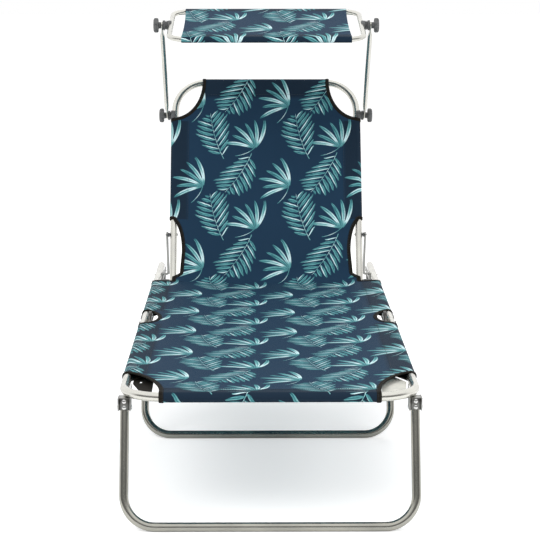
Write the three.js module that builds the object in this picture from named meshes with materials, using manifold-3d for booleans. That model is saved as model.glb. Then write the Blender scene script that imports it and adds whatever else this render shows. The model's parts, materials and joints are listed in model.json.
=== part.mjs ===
// Sun lounger with a canopy: a three-part folding frame of bent aluminium tube, a sling of printed
// cloth, a backrest held by two struts on toothed racks, and a shade on two clamped arms.
// Millimetres, X to the sitter's side, Y from the foot bar to the head, Z up, origin on the floor.

import * as THREE from 'three';
import { mergeVertices } from 'three/addons/utils/BufferGeometryUtils.js';
import Module from 'manifold-3d';

const wasm = await Module();
wasm.setup();

const radians = THREE.MathUtils.degToRad;

// Fits shared by all pieces
const clearance = 0.3;
const overrun = 2;
const drillClearance = 0.4;

// Facets of round work
const tubeSides = 12;
const boreSides = 8;
const slimSides = 8;
const slimBoreSides = 6;
const bendSteps = 5;
const turnSides = 12;
const rivetSides = 8;
const fluteSides = 6;
const domeBands = 4;
const acrossSteps = 6;
const quarterSteps = 4;

// Foot and seat frame
const tubeDiameter = 18;
const tubeWall = 1;
const frameWidth = 580;
const frameBend = 80;
const seatHeight = 254;
const footLength = 744;
const seatLength = 772;
const buttGap = 0.6;

// Backrest, nested between the seat tubes
const backInset = 42;
const backLength = 555;
const backBend = 80;
const backPivotFromEnd = 261;
const backTail = 10;
const reclineAngle = 62;

// Sling cloth, its sleeves and its cut-outs
const clothThickness = 1.2;
const slingSag = 11;
const sagRun = 150;
const frontCutWidth = 80;
const frontCutLength = 168;
const foldCutDepth = 40;
const foldCutLength = 150;
const sleeveEndFromPivot = 34;
const rearNeckInset = 17;
const rearNeckRun = 17;
const turnUpRadius = 58;
const turnUpTangent = 35;
const backNeckInset = 32;
const backNeckFrom = 80;
const backSleeveFrom = 168;
const sleeveEndFromHead = 113;
const headCutWidth = 89;
const headCutLength = 112;

// Folding legs
const legInset = 2;
const legBend = 60;
const legPivotDrop = 30;
const legOverPivot = 6;
const frontLegPivotY = 45;
const frontLegReach = 77;
const middleLegPivotY = 14;
const middleLegReach = 101;
const rearLegFromEnd = 76;
const rearLegReach = 60;

// Leg brackets and their rivets
const bracketWidth = 24.6;
const bracketSheet = 2;
const bracketLip = 13;
const bracketDrop = 6;
const stayWidth = 8;
const stayRise = 36;
const stayReach = 18;
const pinDiameter = 6;
const pinHead = 10;
const pinHeadHeight = 2.4;
const tubeRivet = 5;
const webRivetDrop = 14;

// Fold hinge plates
const plateThickness = 3;
const foldRise = 13;
const plateEye = 9;
const plateDepth = 13;
const plateReach = 54;
const plateRivetPitch = 22;
const plateSpacer = 8;

// Recline struts, bolts and racks
const strutLength = 128;
const strutDiameter = 6.5;
const strutBend = 5;
const strutEye = 8;
const strutEyeThickness = 4;
const standOff = 4.2;
const boltDiameter = 8;
const boltHead = 14;
const boltHeadHeight = 4;
const spacerDiameter = 14;
const rackDepth = 10;
const rackNotchDepth = 4;
const rackNotchSlope = 9;
const rackHook = 16;
const rackHookRise = 8;
const rackTail = 4;
const rackAngles = [62, 50, 38, 26, 0];
const rackRivetHead = 7;

// Canopy, its arms and knobs
const canopyTube = 13;
const canopyWall = 1;
const canopyInset = 4.5;
const canopyDepth = 306;
const canopyBend = 45;
const canopyAngle = 10.8;
const canopyClothInset = 31;
const canopyWaist = 6;
const canopySag = 4;
const armLength = 343.5;
const armAngle = 134.5;
const armPivotFromHead = 93;
const armDiameter = 12;
const armFlat = 4;
const armEye = 9;
const armFlatLength = 15;
const armTaper = 28;
const armStand = 21;
const blockDiameter = 28;
const smallBlockDiameter = 25;
const blockInset = 12;
const blockStep = 3;
const discDiameter = 25;
const discGroove = 1;
const knobDiameter = 37;
const knobHeight = 13;
const knobBoss = 16;
const knobBossHeight = 5.7;
const knobDome = 3;
const knobFlutes = 8;
const fluteDiameter = 9;
const fluteBiteShare = 0.55;
const knobScrew = 6;

// End caps of the seat tubes
const capLip = 3;
const capPlug = 14;

// Sizes worked out from the ones above
const tubeRadius = tubeDiameter / 2;
const tubeFlat = tubeRadius * Math.cos(Math.PI / tubeSides);
const sideX = frameWidth / 2 - tubeRadius;
const backEdge = frameWidth / 2 - backInset;
const backX = backEdge - tubeRadius;
const legX = sideX - legInset;
const foldY = footLength;
const seatRear = foldY + seatLength;
const backPivotY = seatRear - backPivotFromEnd;
const legPivotZ = seatHeight - legPivotDrop;
const frontLean = Math.atan2(frontLegReach, legPivotZ - tubeFlat);
const middleLean = Math.atan2(middleLegReach, legPivotZ - tubeFlat);
const rearLean = Math.atan2(rearLegReach, legPivotZ - tubeFlat);
const middlePivotY = foldY + middleLegPivotY;
const rearPivotY = seatRear - rearLegFromEnd;
const clothTop = tubeFlat + clearance + clothThickness;
const canopyRadius = canopyTube / 2;
const canopyX = backEdge - canopyInset - canopyRadius;
const armX = backX + armStand;
const armPivot = backLength - armPivotFromHead;
const canopyFlat = canopyRadius * Math.cos(Math.PI / slimSides);
const canopyClothTop = canopyFlat + clearance + clothThickness;
const frontReach = frontLegReach + tubeFlat - frontLegPivotY;
const rearReach = backPivotY + backLength * Math.cos(radians(reclineAngle)) + clothTop;
const originY = (rearReach - frontReach) / 2;

// Finishes
const finishes = {
  aluminium: { color: 0xc9cac6, roughness: 0.28, metalness: 0.9 },
  steel: { color: 0x8d8f8c, roughness: 0.35, metalness: 0.9 },
  chrome: { color: 0xd8dadb, roughness: 0.12, metalness: 1 },
  plastic: { color: 0x7d7f80, roughness: 0.55, metalness: 0 },
  cloth: { color: 0x22344f, roughness: 0.9, metalness: 0 },
};

// Solids and meshes

function solidOf(geometry) {
  const bare = geometry.clone();
  bare.deleteAttribute('normal');
  bare.deleteAttribute('uv');
  const merged = mergeVertices(bare);
  const corners = merged.index.array;
  const kept = [];
  for (let k = 0; k < corners.length; k += 3) {
    const [a, b, c] = corners.slice(k, k + 3);
    if (a !== b && b !== c && c !== a) kept.push(a, b, c);
  }
  const vertProperties = new Float32Array(merged.getAttribute('position').array);
  const mesh = new wasm.Mesh({ numProp: 3, vertProperties, triVerts: new Uint32Array(kept) });
  const solid = new wasm.Manifold(mesh);
  if (solid.isEmpty()) throw new Error('a piece came out empty');
  return solid;
}

function geometryOf(solid) {
  const { vertProperties, triVerts } = solid.getMesh();
  const geometry = new THREE.BufferGeometry();
  geometry.setAttribute('position', new THREE.BufferAttribute(vertProperties, 3));
  geometry.setIndex(new THREE.BufferAttribute(triVerts, 1));
  geometry.computeVertexNormals();
  return geometry;
}

function join(...geometries) {
  return geometryOf(geometries.map(solidOf).reduce((whole, next) => whole.add(next)));
}

function cut(geometry, ...cutters) {
  const left = cutters.map(solidOf).reduce((whole, cutter) => whole.subtract(cutter), solidOf(geometry));
  return geometryOf(left);
}

// The same piece for the other side, with its faces turned back to point out.
function mirrored(geometry) {
  const copy = join(geometry);
  copy.scale(-1, 1, 1);
  const corners = copy.index.array;
  for (let k = 0; k < corners.length; k += 3) {
    [corners[k], corners[k + 1]] = [corners[k + 1], corners[k]];
  }
  copy.computeVertexNormals();
  return copy;
}

function piece(name, geometry, finish) {
  const mesh = new THREE.Mesh(geometry, new THREE.MeshStandardMaterial(finishes[finish]));
  mesh.name = name;
  return mesh;
}

// A right-hand piece and its mirror image, named by side.
function pair(name, geometry, finish, place = new THREE.Vector3()) {
  const right = piece(`${name}_right`, geometry, finish);
  const left = piece(`${name}_left`, mirrored(geometry), finish);
  right.position.copy(place);
  left.position.set(-place.x, place.y, place.z);
  return [left, right];
}

// Tubes and rods along paths of straight runs and round bends

class StationPath extends THREE.Curve {
  constructor(stations) {
    super();
    this.stations = stations;
  }

  station(share) {
    return this.stations[Math.round(share * (this.stations.length - 1))];
  }

  getPointAt(share, target = new THREE.Vector3()) {
    return target.copy(this.station(share).point);
  }

  getTangentAt(share, target = new THREE.Vector3()) {
    return target.copy(this.station(share).tangent);
  }
}

function bentPath(corners, bend) {
  const towards = (from, to) => to.clone().sub(from).normalize();
  const last = corners.length - 1;
  const stations = [{ point: corners[0], tangent: towards(corners[0], corners[1]) }];
  for (let k = 1; k < last; k += 1) {
    const along = towards(corners[k - 1], corners[k]);
    const after = towards(corners[k], corners[k + 1]);
    const turn = along.angleTo(after);
    const across = after.clone().addScaledVector(along, -after.dot(along)).normalize();
    const start = corners[k].clone().addScaledVector(along, -bend * Math.tan(turn / 2));
    for (let step = 0; step <= bendSteps; step += 1) {
      const angle = (turn * step) / bendSteps;
      const point = start.clone()
        .addScaledVector(along, bend * Math.sin(angle))
        .addScaledVector(across, bend * (1 - Math.cos(angle)));
      const tangent = along.clone().multiplyScalar(Math.cos(angle))
        .addScaledVector(across, Math.sin(angle));
      stations.push({ point, tangent });
    }
  }
  stations.push({ point: corners[last], tangent: towards(corners[last - 1], corners[last]) });
  return new StationPath(stations);
}

// A polygon with a flat facing each quarter, turned by an angle.
function polygon(radius, sides, turn = 0) {
  return Array.from({ length: sides }, (_, k) => {
    const angle = turn + ((k + 0.5) * 2 * Math.PI) / sides;
    return new THREE.Vector2(radius * Math.cos(angle), radius * Math.sin(angle));
  });
}

function ringSection(radius, sides, bore, boreFacets, turn = 0) {
  const section = new THREE.Shape(polygon(radius, sides, turn));
  section.holes.push(new THREE.Path(polygon(bore, boreFacets, turn)));
  return section;
}

function alongPath(section, path) {
  return new THREE.ExtrudeGeometry(section, { steps: path.stations.length - 1, extrudePath: path });
}

function frameTube(corners, bend, turn = 0) {
  const section = ringSection(tubeRadius, tubeSides, tubeRadius - tubeWall, boreSides, turn);
  return alongPath(section, bentPath(corners, bend));
}

// A cloth sleeve round a tube, parallel to its facets.
function sleeve(radius, sides, from, to) {
  const corner = 1 / Math.cos(Math.PI / sides);
  const inner = radius + clearance * corner;
  const section = ringSection(inner + clothThickness * corner, sides, inner, sides);
  return alongPath(section, bentPath([from, to], 0));
}

// A round bar along X, used as a shank and, lengthened by the overrun, as a drill.
function barX(radius, from, to, y, z, sides = rivetSides) {
  const bar = new THREE.CylinderGeometry(radius, radius, to - from, sides);
  bar.rotateZ(-Math.PI / 2);
  bar.translate((from + to) / 2, y, z);
  return bar;
}

function barY(radius, from, to, x, z, sides = tubeSides) {
  const bar = new THREE.CylinderGeometry(radius, radius, to - from, sides);
  bar.translate(x, (from + to) / 2, z);
  return bar;
}

function barZ(radius, from, to, x, y, sides = rivetSides) {
  const bar = new THREE.CylinderGeometry(radius, radius, to - from, sides);
  bar.rotateX(Math.PI / 2);
  bar.translate(x, y, (from + to) / 2);
  return bar;
}

// A profile of [radius, x] points turned about the X axis, from its low end to its high end.
function turnedX(profile, y, z, sides = rivetSides) {
  const points = profile.map(([radius, x]) => new THREE.Vector2(radius, x));
  const turned = new THREE.LatheGeometry(points, sides);
  turned.rotateZ(-Math.PI / 2);
  turned.translate(0, y, z);
  return turned;
}

// Flat sheet metal: a [y, z] outline given a thickness along X.
function plateX(outline, from, to, holes = []) {
  const shape = new THREE.Shape(outline.map(([y, z]) => new THREE.Vector2(y, z)));
  holes.forEach(([y, z, radius]) => {
    const hole = polygon(radius, rivetSides).map((point) => point.add(new THREE.Vector2(y, z)));
    shape.holes.push(new THREE.Path(hole));
  });
  const plate = new THREE.ExtrudeGeometry(shape, { depth: to - from, bevelEnabled: false });
  const yzToWorld = new THREE.Matrix4().makeBasis(
    new THREE.Vector3(0, 1, 0), new THREE.Vector3(0, 0, 1), new THREE.Vector3(1, 0, 0),
  );
  plate.applyMatrix4(yzToWorld);
  plate.translate(from, 0, 0);
  return plate;
}

function box(low, high) {
  const size = high.clone().sub(low);
  const block = new THREE.BoxGeometry(size.x, size.y, size.z);
  block.translate(...low.clone().add(high).multiplyScalar(0.5).toArray());
  return block;
}

// Points of a round end about a centre, from one angle to another, in [y, z].
function arc(centreY, centreZ, radius, from, to) {
  return Array.from({ length: bendSteps + 1 }, (_, k) => {
    const angle = radians(from + ((to - from) * k) / bendSteps);
    return [centreY + radius * Math.cos(angle), centreZ + radius * Math.sin(angle)];
  });
}

// A rivet or bolt along X with a domed head at each end of its grip.
function rivetX(diameter, head, headHeight, from, to, y, z) {
  const shank = diameter / 2;
  const rim = head / 2;
  const crown = rim * Math.SQRT1_2;
  const low = from - clearance;
  const high = to + clearance;
  return turnedX([
    [0, low - headHeight], [crown, low - headHeight * Math.SQRT1_2], [rim, low], [shank, low],
    [shank, high], [rim, high], [crown, high + headHeight * Math.SQRT1_2], [0, high + headHeight],
  ], y, z);
}

// Cloth as a sheet with a lower face one thickness down, from rows of upper-face points.
function sheet(rows, shares, place) {
  const positions = [];
  [0, clothThickness].forEach((depth) => {
    rows.forEach((row) => shares.forEach((share) => {
      const point = place(row, share);
      positions.push(point.x, point.y, point.z - depth);
    }));
  });
  const across = shares.length;
  const layer = rows.length * across;
  const corners = [];
  const quad = (a, b, c, d) => corners.push(a, b, c, a, c, d);
  for (let r = 0; r < rows.length - 1; r += 1) {
    for (let c = 0; c < across - 1; c += 1) {
      const at = r * across + c;
      quad(at, at + 1, at + across + 1, at + across);
      quad(layer + at, layer + at + across, layer + at + across + 1, layer + at + 1);
    }
    const left = r * across;
    const right = left + across - 1;
    quad(left, left + across, layer + left + across, layer + left);
    quad(right, layer + right, layer + right + across, right + across);
  }
  for (let c = 0; c < across - 1; c += 1) {
    const front = c;
    const back = layer - across + c;
    quad(front, layer + front, layer + front + 1, front + 1);
    quad(back, back + 1, layer + back + 1, layer + back);
  }
  const geometry = new THREE.BufferGeometry();
  geometry.setAttribute('position', new THREE.BufferAttribute(new Float32Array(positions), 3));
  geometry.setIndex(corners);
  return geometry;
}

const acrossShares = Array.from({ length: acrossSteps + 1 }, (_, k) => (2 * k) / acrossSteps - 1);
const quarterShares = Array.from({ length: quarterSteps + 1 }, (_, k) => k / quarterSteps);

// Sag of a sling between its tubes: none at the edges, growing away from a cross bar.
function sagAt(share, fromBar) {
  const grown = Math.sin((Math.PI / 2) * Math.min(1, Math.max(0, fromBar) / sagRun));
  return slingSag * grown * (1 - share * share);
}

// Half-width left by an elliptical cut-out, at a distance from its centre line.
function cutEdge(full, depth, distance, reach) {
  const share = Math.min(1, Math.abs(distance) / reach);
  return full - depth * Math.sqrt(1 - share * share);
}

// Foot section: a U of tube, hinged to the seat section at its two ends

const edgeX = frameWidth / 2;

function cornerTubeX(y) {
  const into = Math.max(0, frameBend - y);
  return sideX - frameBend + Math.sqrt(frameBend * frameBend - into * into);
}

function footFrame() {
  const end = foldY - buttGap / 2;
  const tube = frameTube([
    new THREE.Vector3(-sideX, end, seatHeight),
    new THREE.Vector3(-sideX, 0, seatHeight),
    new THREE.Vector3(sideX, 0, seatHeight),
    new THREE.Vector3(sideX, end, seatHeight),
  ], frameBend);
  const plateDrills = plateRivetYs(-1).flatMap((y) => [-1, 1].map((side) => (
    barX(tubeRivet / 2 + drillClearance, side * sideX - tubeRadius - overrun,
      side * sideX + tubeRadius + overrun, y, seatHeight)
  )));
  const bracketDrills = [-1, 1].map((side) => (
    barZ(tubeRivet / 2 + drillClearance, seatHeight - tubeRadius - overrun, seatHeight,
      side * cornerTubeX(frontLegPivotY), frontLegPivotY)
  ));
  return cut(tube, ...plateDrills, ...bracketDrills);
}

function footSling() {
  const cutYs = quarterShares.map((share) => frontCutLength * Math.sin((Math.PI / 2) * share));
  const foldYs = quarterShares.map((share) => (
    foldY - (foldCutLength / 2) * Math.cos((Math.PI / 2) * share)
  ));
  foldYs[foldYs.length - 1] = foldY - buttGap / 2;
  const between = [1, 2].map((k) => frontCutLength + (k * (foldYs[0] - frontCutLength)) / 3);
  const rows = [...cutYs, ...between, ...foldYs];
  const cloth = sheet(rows, acrossShares, (y, share) => {
    const front = cutEdge(edgeX, frontCutWidth, y, frontCutLength);
    const fold = cutEdge(edgeX, foldCutDepth, y - foldY, foldCutLength / 2);
    const half = Math.min(front, fold, sideX);
    return new THREE.Vector3(share * half, y, seatHeight + clothTop - sagAt(share, y));
  });
  const sleeves = [-1, 1].map((side) => sleeve(tubeRadius, tubeSides,
    new THREE.Vector3(side * sideX, frontCutLength, seatHeight),
    new THREE.Vector3(side * sideX, foldY - foldCutLength / 2, seatHeight)));
  const hem = sleeve(tubeRadius, tubeSides,
    new THREE.Vector3(frameBend - sideX, 0, seatHeight),
    new THREE.Vector3(sideX - frameBend, 0, seatHeight));
  return join(cloth, ...sleeves, hem);
}

// Fold hinge: a plate inside each tube, riveted to it, turning on a rivet above the cloth

const foldZ = seatHeight + foldRise;
const footPlateX = sideX - tubeRadius - clearance - plateThickness;
const seatPlateX = footPlateX - clearance - plateThickness;

function plateRivetYs(way) {
  const outer = foldY + way * (plateReach - plateDepth / 2);
  return [outer, outer - way * plateRivetPitch];
}

function hingePlate(way, innerX) {
  const low = seatHeight - plateDepth / 2;
  const high = seatHeight + plateDepth / 2;
  const end = foldY + way * plateReach;
  const eyeStart = foldY - way * plateEye;
  const waist = foldY + way * plateEye;
  const half = plateDepth / 2;
  const outline = [
    [waist + way * plateEye, high],
    [end - way * half, high],
    ...arc(0, 0, half, 90, -90).map(([y, z]) => [end - way * (half - y), seatHeight + z]),
    [waist, low],
    [eyeStart + way * half, seatHeight],
    ...arc(0, 0, plateEye, 180, 0).map(([y, z]) => [foldY + way * y, foldZ + z]),
  ];
  const ordered = way > 0 ? outline.slice().reverse() : outline;
  const outerX = innerX + plateThickness;
  const plate = plateX(ordered, innerX, outerX, [[foldY, foldZ, pinDiameter / 2 + drillClearance]]);
  const rivets = plateRivetYs(way).flatMap((y) => {
    const outside = sideX + tubeRadius + clearance;
    const crown = pinHeadHeight * Math.SQRT1_2;
    const through = turnedX([
      [0, innerX - pinHeadHeight], [(pinHead / 2) * Math.SQRT1_2, innerX - crown],
      [pinHead / 2, innerX], [tubeRivet / 2, innerX + plateThickness / 2],
      [tubeRivet / 2, outside], [pinHead / 2, outside],
      [(pinHead / 2) * Math.SQRT1_2, outside + crown], [0, outside + pinHeadHeight],
    ], y, seatHeight);
    const seatSide = outerX < footPlateX;
    const tubeFace = sideX - tubeRadius - clearance;
    const spacer = barX(plateSpacer / 2, innerX + plateThickness / 2, tubeFace, y, seatHeight);
    return seatSide ? [through, spacer] : [through];
  });
  return join(plate, ...rivets);
}

function foldRivet() {
  const outside = footPlateX + plateThickness;
  return rivetX(pinDiameter, pinHead, pinHeadHeight, seatPlateX, outside, foldY, foldZ);
}

// Seat section: two straight tubes that run on past the backrest's pivots to the rear

const rackPinAt = (angle) => backPivotY + 2 * strutLength * Math.cos(radians(angle));
const rackStart = rackPinAt(rackAngles[0]) - strutDiameter / 2 - clearance - rackHook;
const rackEnd = rackPinAt(rackAngles[rackAngles.length - 1]) + rackTail;
const rackRivetYs = [
  rackStart + rackHook / 2,
  (rackPinAt(rackAngles[2]) + rackPinAt(rackAngles[3]) + rackNotchSlope) / 2,
];
const rackTip = seatHeight - strutDiameter / 2 - clearance;
const rackBase = rackTip - rackDepth;
const rackRivetZs = [seatHeight, rackTip - pinHead / 2];

function seatTube() {
  const tube = frameTube([
    new THREE.Vector3(sideX, foldY + buttGap / 2, seatHeight),
    new THREE.Vector3(sideX, seatRear, seatHeight),
  ], 0);
  const drillX = (diameter, y, z) => barX(diameter / 2 + drillClearance,
    sideX - tubeRadius - overrun, sideX + tubeRadius + overrun, y, z);
  return cut(tube,
    drillX(boltDiameter, backPivotY, seatHeight),
    ...plateRivetYs(1).map((y) => drillX(tubeRivet, y, seatHeight)),
    ...rackRivetYs.map((y, k) => drillX(tubeRivet, y, rackRivetZs[k])),
    ...[middlePivotY, rearPivotY].map((y) => (
      barZ(tubeRivet / 2 + drillClearance, seatHeight - tubeRadius - overrun, seatHeight, sideX, y))));
}

function endCap() {
  const bore = tubeRadius - tubeWall;
  const plug = bore * Math.cos(Math.PI / boreSides) - clearance;
  const cap = new THREE.LatheGeometry([
    [0, 0], [plug, 0], [plug, capPlug], [tubeRadius, capPlug + clearance],
    [tubeRadius, capPlug + clearance + capLip / 3], [tubeRadius - capLip / 2, capPlug + capLip],
    [0, capPlug + capLip],
  ].map(([radius, along]) => new THREE.Vector2(radius, along)), tubeSides);
  cap.translate(0, seatRear - capPlug, 0);
  cap.translate(sideX, 0, seatHeight);
  return join(cap);
}

function seatSling() {
  const foldYs = quarterShares.map((share) => (
    foldY + (foldCutLength / 2) * Math.sin((Math.PI / 2) * share)));
  foldYs[0] = foldY + buttGap / 2;
  const sleeveEnd = backPivotY - sleeveEndFromPivot;
  const turnStart = backPlaneY - turnUpTangent;
  const sweep = radians(reclineAngle / 2);
  const turnYs = quarterShares.slice(1).map((share) => (
    turnStart + turnUpRadius * Math.sin(sweep * share)));
  turnYs[turnYs.length - 1] -= clearance;
  const middle = (foldYs[foldYs.length - 1] + turnStart) / 2;
  const rows = [...foldYs, middle, turnStart, ...turnYs];
  const cloth = sheet(rows, acrossShares, (y, share) => {
    const fold = cutEdge(edgeX, foldCutDepth, y - foldY, foldCutLength / 2);
    const neck = sideX - (sideX - rearNeck) * Math.min(1, Math.max(0, y - sleeveEnd) / rearNeckRun);
    const half = Math.min(fold, neck, sideX);
    const into = Math.max(0, y - turnStart);
    const rise = turnUpRadius - Math.sqrt(turnUpRadius * turnUpRadius - into * into);
    const z = seatHeight + clothTop + rise - slingSag * (1 - share * share);
    return new THREE.Vector3(share * half, y, z);
  });
  const sleeves = [-1, 1].map((side) => sleeve(tubeRadius, tubeSides,
    new THREE.Vector3(side * sideX, foldY + foldCutLength / 2, seatHeight),
    new THREE.Vector3(side * sideX, sleeveEnd, seatHeight)));
  return join(cloth, ...sleeves);
}

// Rack: a plate with hooked notches inside the seat tube, one notch for each angle of the backrest
function rack() {
  const reliefFrom = rearPivotY - bracketLip - 2 * clearance;
  const reliefTo = rearPivotY + webGap(rearLean) + bracketSheet + 2 * clearance;
  const reliefZ = seatHeight - tubeRadius;
  const outline = [
    [rackStart, rackBase], [reliefFrom, rackBase], [reliefFrom, reliefZ], [reliefTo, reliefZ],
    [reliefTo, rackBase], [rackEnd, rackBase], [rackEnd, rackTip],
  ];
  rackAngles.slice().reverse().forEach((angle) => {
    const y = rackPinAt(angle);
    const wall = y - strutDiameter / 2 - clearance;
    if (angle > 0) outline.push([y + strutDiameter / 2 + rackNotchSlope, rackTip]);
    if (angle === 0) outline.push([rackEnd - clearance, rackTip]);
    outline.push(
      [y + strutDiameter / 4, rackTip - rackNotchDepth],
      [wall + strutDiameter / 4, rackTip - rackNotchDepth],
      [wall, rackTip - rackNotchDepth / 2], [wall, rackTip],
    );
  });
  const hookEnd = rackPinAt(rackAngles[0]) - strutDiameter / 2 - clearance;
  outline.push(
    [hookEnd, seatHeight + rackHookRise / 2], [hookEnd - rackHook / 4, seatHeight + rackHookRise],
    [rackStart + rackHook / 4, seatHeight + rackHookRise], [rackStart, seatHeight + rackHookRise / 2],
  );
  const outerX = sideX - tubeRadius - clearance;
  return plateX(outline, outerX - plateThickness, outerX,
    rackRivetYs.map((y, k) => [y, rackRivetZs[k], tubeRivet / 2 + drillClearance]));
}

function rackRivet(y, z) {
  const inner = sideX - tubeRadius - clearance - plateThickness;
  return join(rivetX(tubeRivet, rackRivetHead, pinHeadHeight, inner, sideX + tubeRadius, y, z));
}

// From a leg's pivot to the web whose lower edge stops it at its lean
function webGap(lean) {
  return bracketDrop * Math.tan(lean) + tubeRadius / Math.cos(lean) + clearance;
}

// Leg bracket: a pressed channel under the tube, open towards the way the leg folds
function legBracket(pivotY, lean, way, tubeX, stay) {
  const outerLow = legX - bracketWidth / 2;
  const outerHigh = legX + bracketWidth / 2;
  const top = seatHeight - tubeRadius - clearance;
  const bottom = legPivotZ - bracketDrop;
  const webInner = pivotY - way * webGap(lean);
  const webOuter = webInner - way * bracketSheet;
  const open = pivotY + way * bracketLip;
  const sorted = (a, b) => [Math.min(a, b), Math.max(a, b)];
  const [shellLow, shellHigh] = sorted(webOuter, open);
  const [webLow, webHigh] = sorted(webOuter, webInner);
  const shell = box(
    new THREE.Vector3(outerLow, shellLow, bottom),
    new THREE.Vector3(outerHigh, shellHigh, top),
  );
  const [hollowLow, hollowHigh] = sorted(webInner, open + way * overrun);
  const hollow = box(
    new THREE.Vector3(outerLow + bracketSheet, hollowLow, bottom - overrun),
    new THREE.Vector3(outerHigh - bracketSheet, hollowHigh, top - bracketSheet),
  );
  const pinDrill = barX(pinDiameter / 2 + drillClearance, outerLow - overrun, outerHigh + overrun,
    pivotY, legPivotZ);
  const parts = [cut(shell, hollow, pinDrill)];
  parts.push(barZ(tubeRivet / 2, top - bracketSheet / 2, seatHeight - tubeRadius / 2, tubeX, pivotY));
  const domeY = way > 0 ? webLow : webHigh;
  [0, 1].forEach((k) => {
    const dome = new THREE.SphereGeometry(pinHead / 2, rivetSides, domeBands);
    dome.scale(1, pinHeadHeight / (pinHead / 2), 1);
    dome.translate(legX, domeY, legPivotZ + k * webRivetDrop);
    parts.push(dome);
  });
  if (stay) {
    const rear = pivotY + bracketLip;
    const stayTop = bottom + stayRise + stayWidth;
    parts.push(plateX([
      [rear - stayWidth, bottom], [rear, bottom],
      [rear + stayReach, stayTop], [rear + stayReach - stayWidth, stayTop],
      [rear - stayWidth / 2, top - bracketSheet],
    ], outerLow, outerLow + bracketSheet));
  }
  return join(...parts);
}

// A U-shaped leg hanging from its two pivots, with a flat facet of its cross bar facing the floor.
function leg(name, pivotY, reach) {
  const drop = legPivotZ - tubeFlat;
  const lean = Math.atan2(reach, drop);
  const length = Math.hypot(reach, drop);
  const tube = frameTube([
    new THREE.Vector3(-legX, 0, legOverPivot),
    new THREE.Vector3(-legX, 0, -length),
    new THREE.Vector3(legX, 0, -length),
    new THREE.Vector3(legX, 0, legOverPivot),
  ], legBend, -lean);
  const drills = [-1, 1].map((side) => barX(pinDiameter / 2 + drillClearance,
    side * legX - tubeRadius - overrun, side * legX + tubeRadius + overrun, 0, 0));
  const mesh = piece(name, cut(tube, ...drills), 'aluminium');
  mesh.position.set(0, pivotY, legPivotZ);
  mesh.rotation.x = lean;
  return mesh;
}

function legPin(pivotY) {
  const low = legX - bracketWidth / 2;
  return join(rivetX(pinDiameter, pinHead, pinHeadHeight, low, low + bracketWidth, pivotY, legPivotZ));
}

// Recline pivot: a bolt through the seat tube, a spacer and the backrest tube
function reclineBolt() {
  const nutSide = backX - tubeRadius;
  const bolt = rivetX(boltDiameter, boltHead, boltHeadHeight, nutSide, sideX + tubeRadius,
    backPivotY, seatHeight);
  return join(bolt);
}

function reclineSpacer() {
  const from = backX + tubeRadius + clearance;
  const to = sideX - tubeRadius - clearance;
  const outer = barX(spacerDiameter / 2, from, to, backPivotY, seatHeight);
  const bore = boltDiameter / 2 + drillClearance;
  return cut(outer, barX(bore, from - overrun, to + overrun, backPivotY, seatHeight));
}

// Backrest in its own frame: hinge axis at zero, Y along it to the head, Z out of its lying side

const strutX = backX + tubeRadius + clearance + standOff + strutDiameter / 2;

function backFrame() {
  const tube = frameTube([
    new THREE.Vector3(-backX, -backTail, 0),
    new THREE.Vector3(-backX, backLength, 0),
    new THREE.Vector3(backX, backLength, 0),
    new THREE.Vector3(backX, -backTail, 0),
  ], backBend);
  const pins = [[0, boltDiameter], [strutLength, pinDiameter]];
  const drills = [-1, 1].flatMap((side) => pins.map(([y, diameter]) => (
    barX(diameter / 2 + drillClearance, side * backX - tubeRadius - overrun,
      side * backX + tubeRadius + overrun, y, 0)
  )));
  return cut(tube, ...drills);
}

// Where the cloth planes of the level seat and the raised backrest meet, measured along each.
const halfTurn = radians(reclineAngle / 2);
const backPlaneY = backPivotY - clothTop * Math.tan(halfTurn);
const backPlaneT = clothTop * Math.tan(halfTurn);
const rearNeck = backX - rearNeckInset;
const backNeck = backEdge - backNeckInset;

function backSling() {
  const turnEnd = backPlaneT + turnUpTangent;
  const turnTs = quarterShares.slice(0, -1).map((share) => (
    turnEnd - turnUpRadius * Math.sin(halfTurn * (1 - share))
  ));
  turnTs[0] += clearance;
  const neckTs = quarterShares.map((share) => backNeckFrom
    + (backSleeveFrom - backNeckFrom) * Math.sin((Math.PI / 2) * share));
  const headTs = quarterShares.map((share) => (
    backLength - headCutLength * Math.cos((Math.PI / 2) * share)));
  const middle = (backSleeveFrom + headTs[0]) / 2;
  const rows = [...turnTs, turnEnd, ...neckTs, middle, ...headTs];
  const cloth = sheet(rows, acrossShares, (t, share) => {
    const lower = t < backNeckFrom
      ? rearNeck + ((backNeck - rearNeck) * (t - backPlaneT)) / (backNeckFrom - backPlaneT)
      : cutEdge(backEdge, backNeckInset, t - backNeckFrom, backSleeveFrom - backNeckFrom);
    const upper = cutEdge(backEdge, headCutWidth, backLength - t, headCutLength);
    const half = Math.min(lower, upper, backX);
    const into = Math.max(0, turnEnd - t);
    const rise = turnUpRadius - Math.sqrt(turnUpRadius * turnUpRadius - into * into);
    return new THREE.Vector3(share * half, t, clothTop + rise - sagAt(share, backLength - t));
  });
  const sleeves = [-1, 1].map((side) => sleeve(tubeRadius, tubeSides,
    new THREE.Vector3(side * backX, backSleeveFrom, 0),
    new THREE.Vector3(side * backX, backLength - sleeveEndFromHead, 0)));
  const hem = sleeve(tubeRadius, tubeSides,
    new THREE.Vector3(backBend - backX, backLength, 0),
    new THREE.Vector3(backX - backBend, backLength, 0));
  return join(cloth, ...sleeves, hem);
}

function strutBolt() {
  const inner = backX - tubeRadius;
  const outer = strutX + strutEyeThickness / 2;
  const stand = barX(plateSpacer / 2, backX + tubeRadius + clearance,
    strutX - strutEyeThickness / 2 - clearance, strutLength, 0);
  return join(rivetX(pinDiameter, pinHead, pinHeadHeight, inner, outer, strutLength, 0), stand);
}

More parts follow.
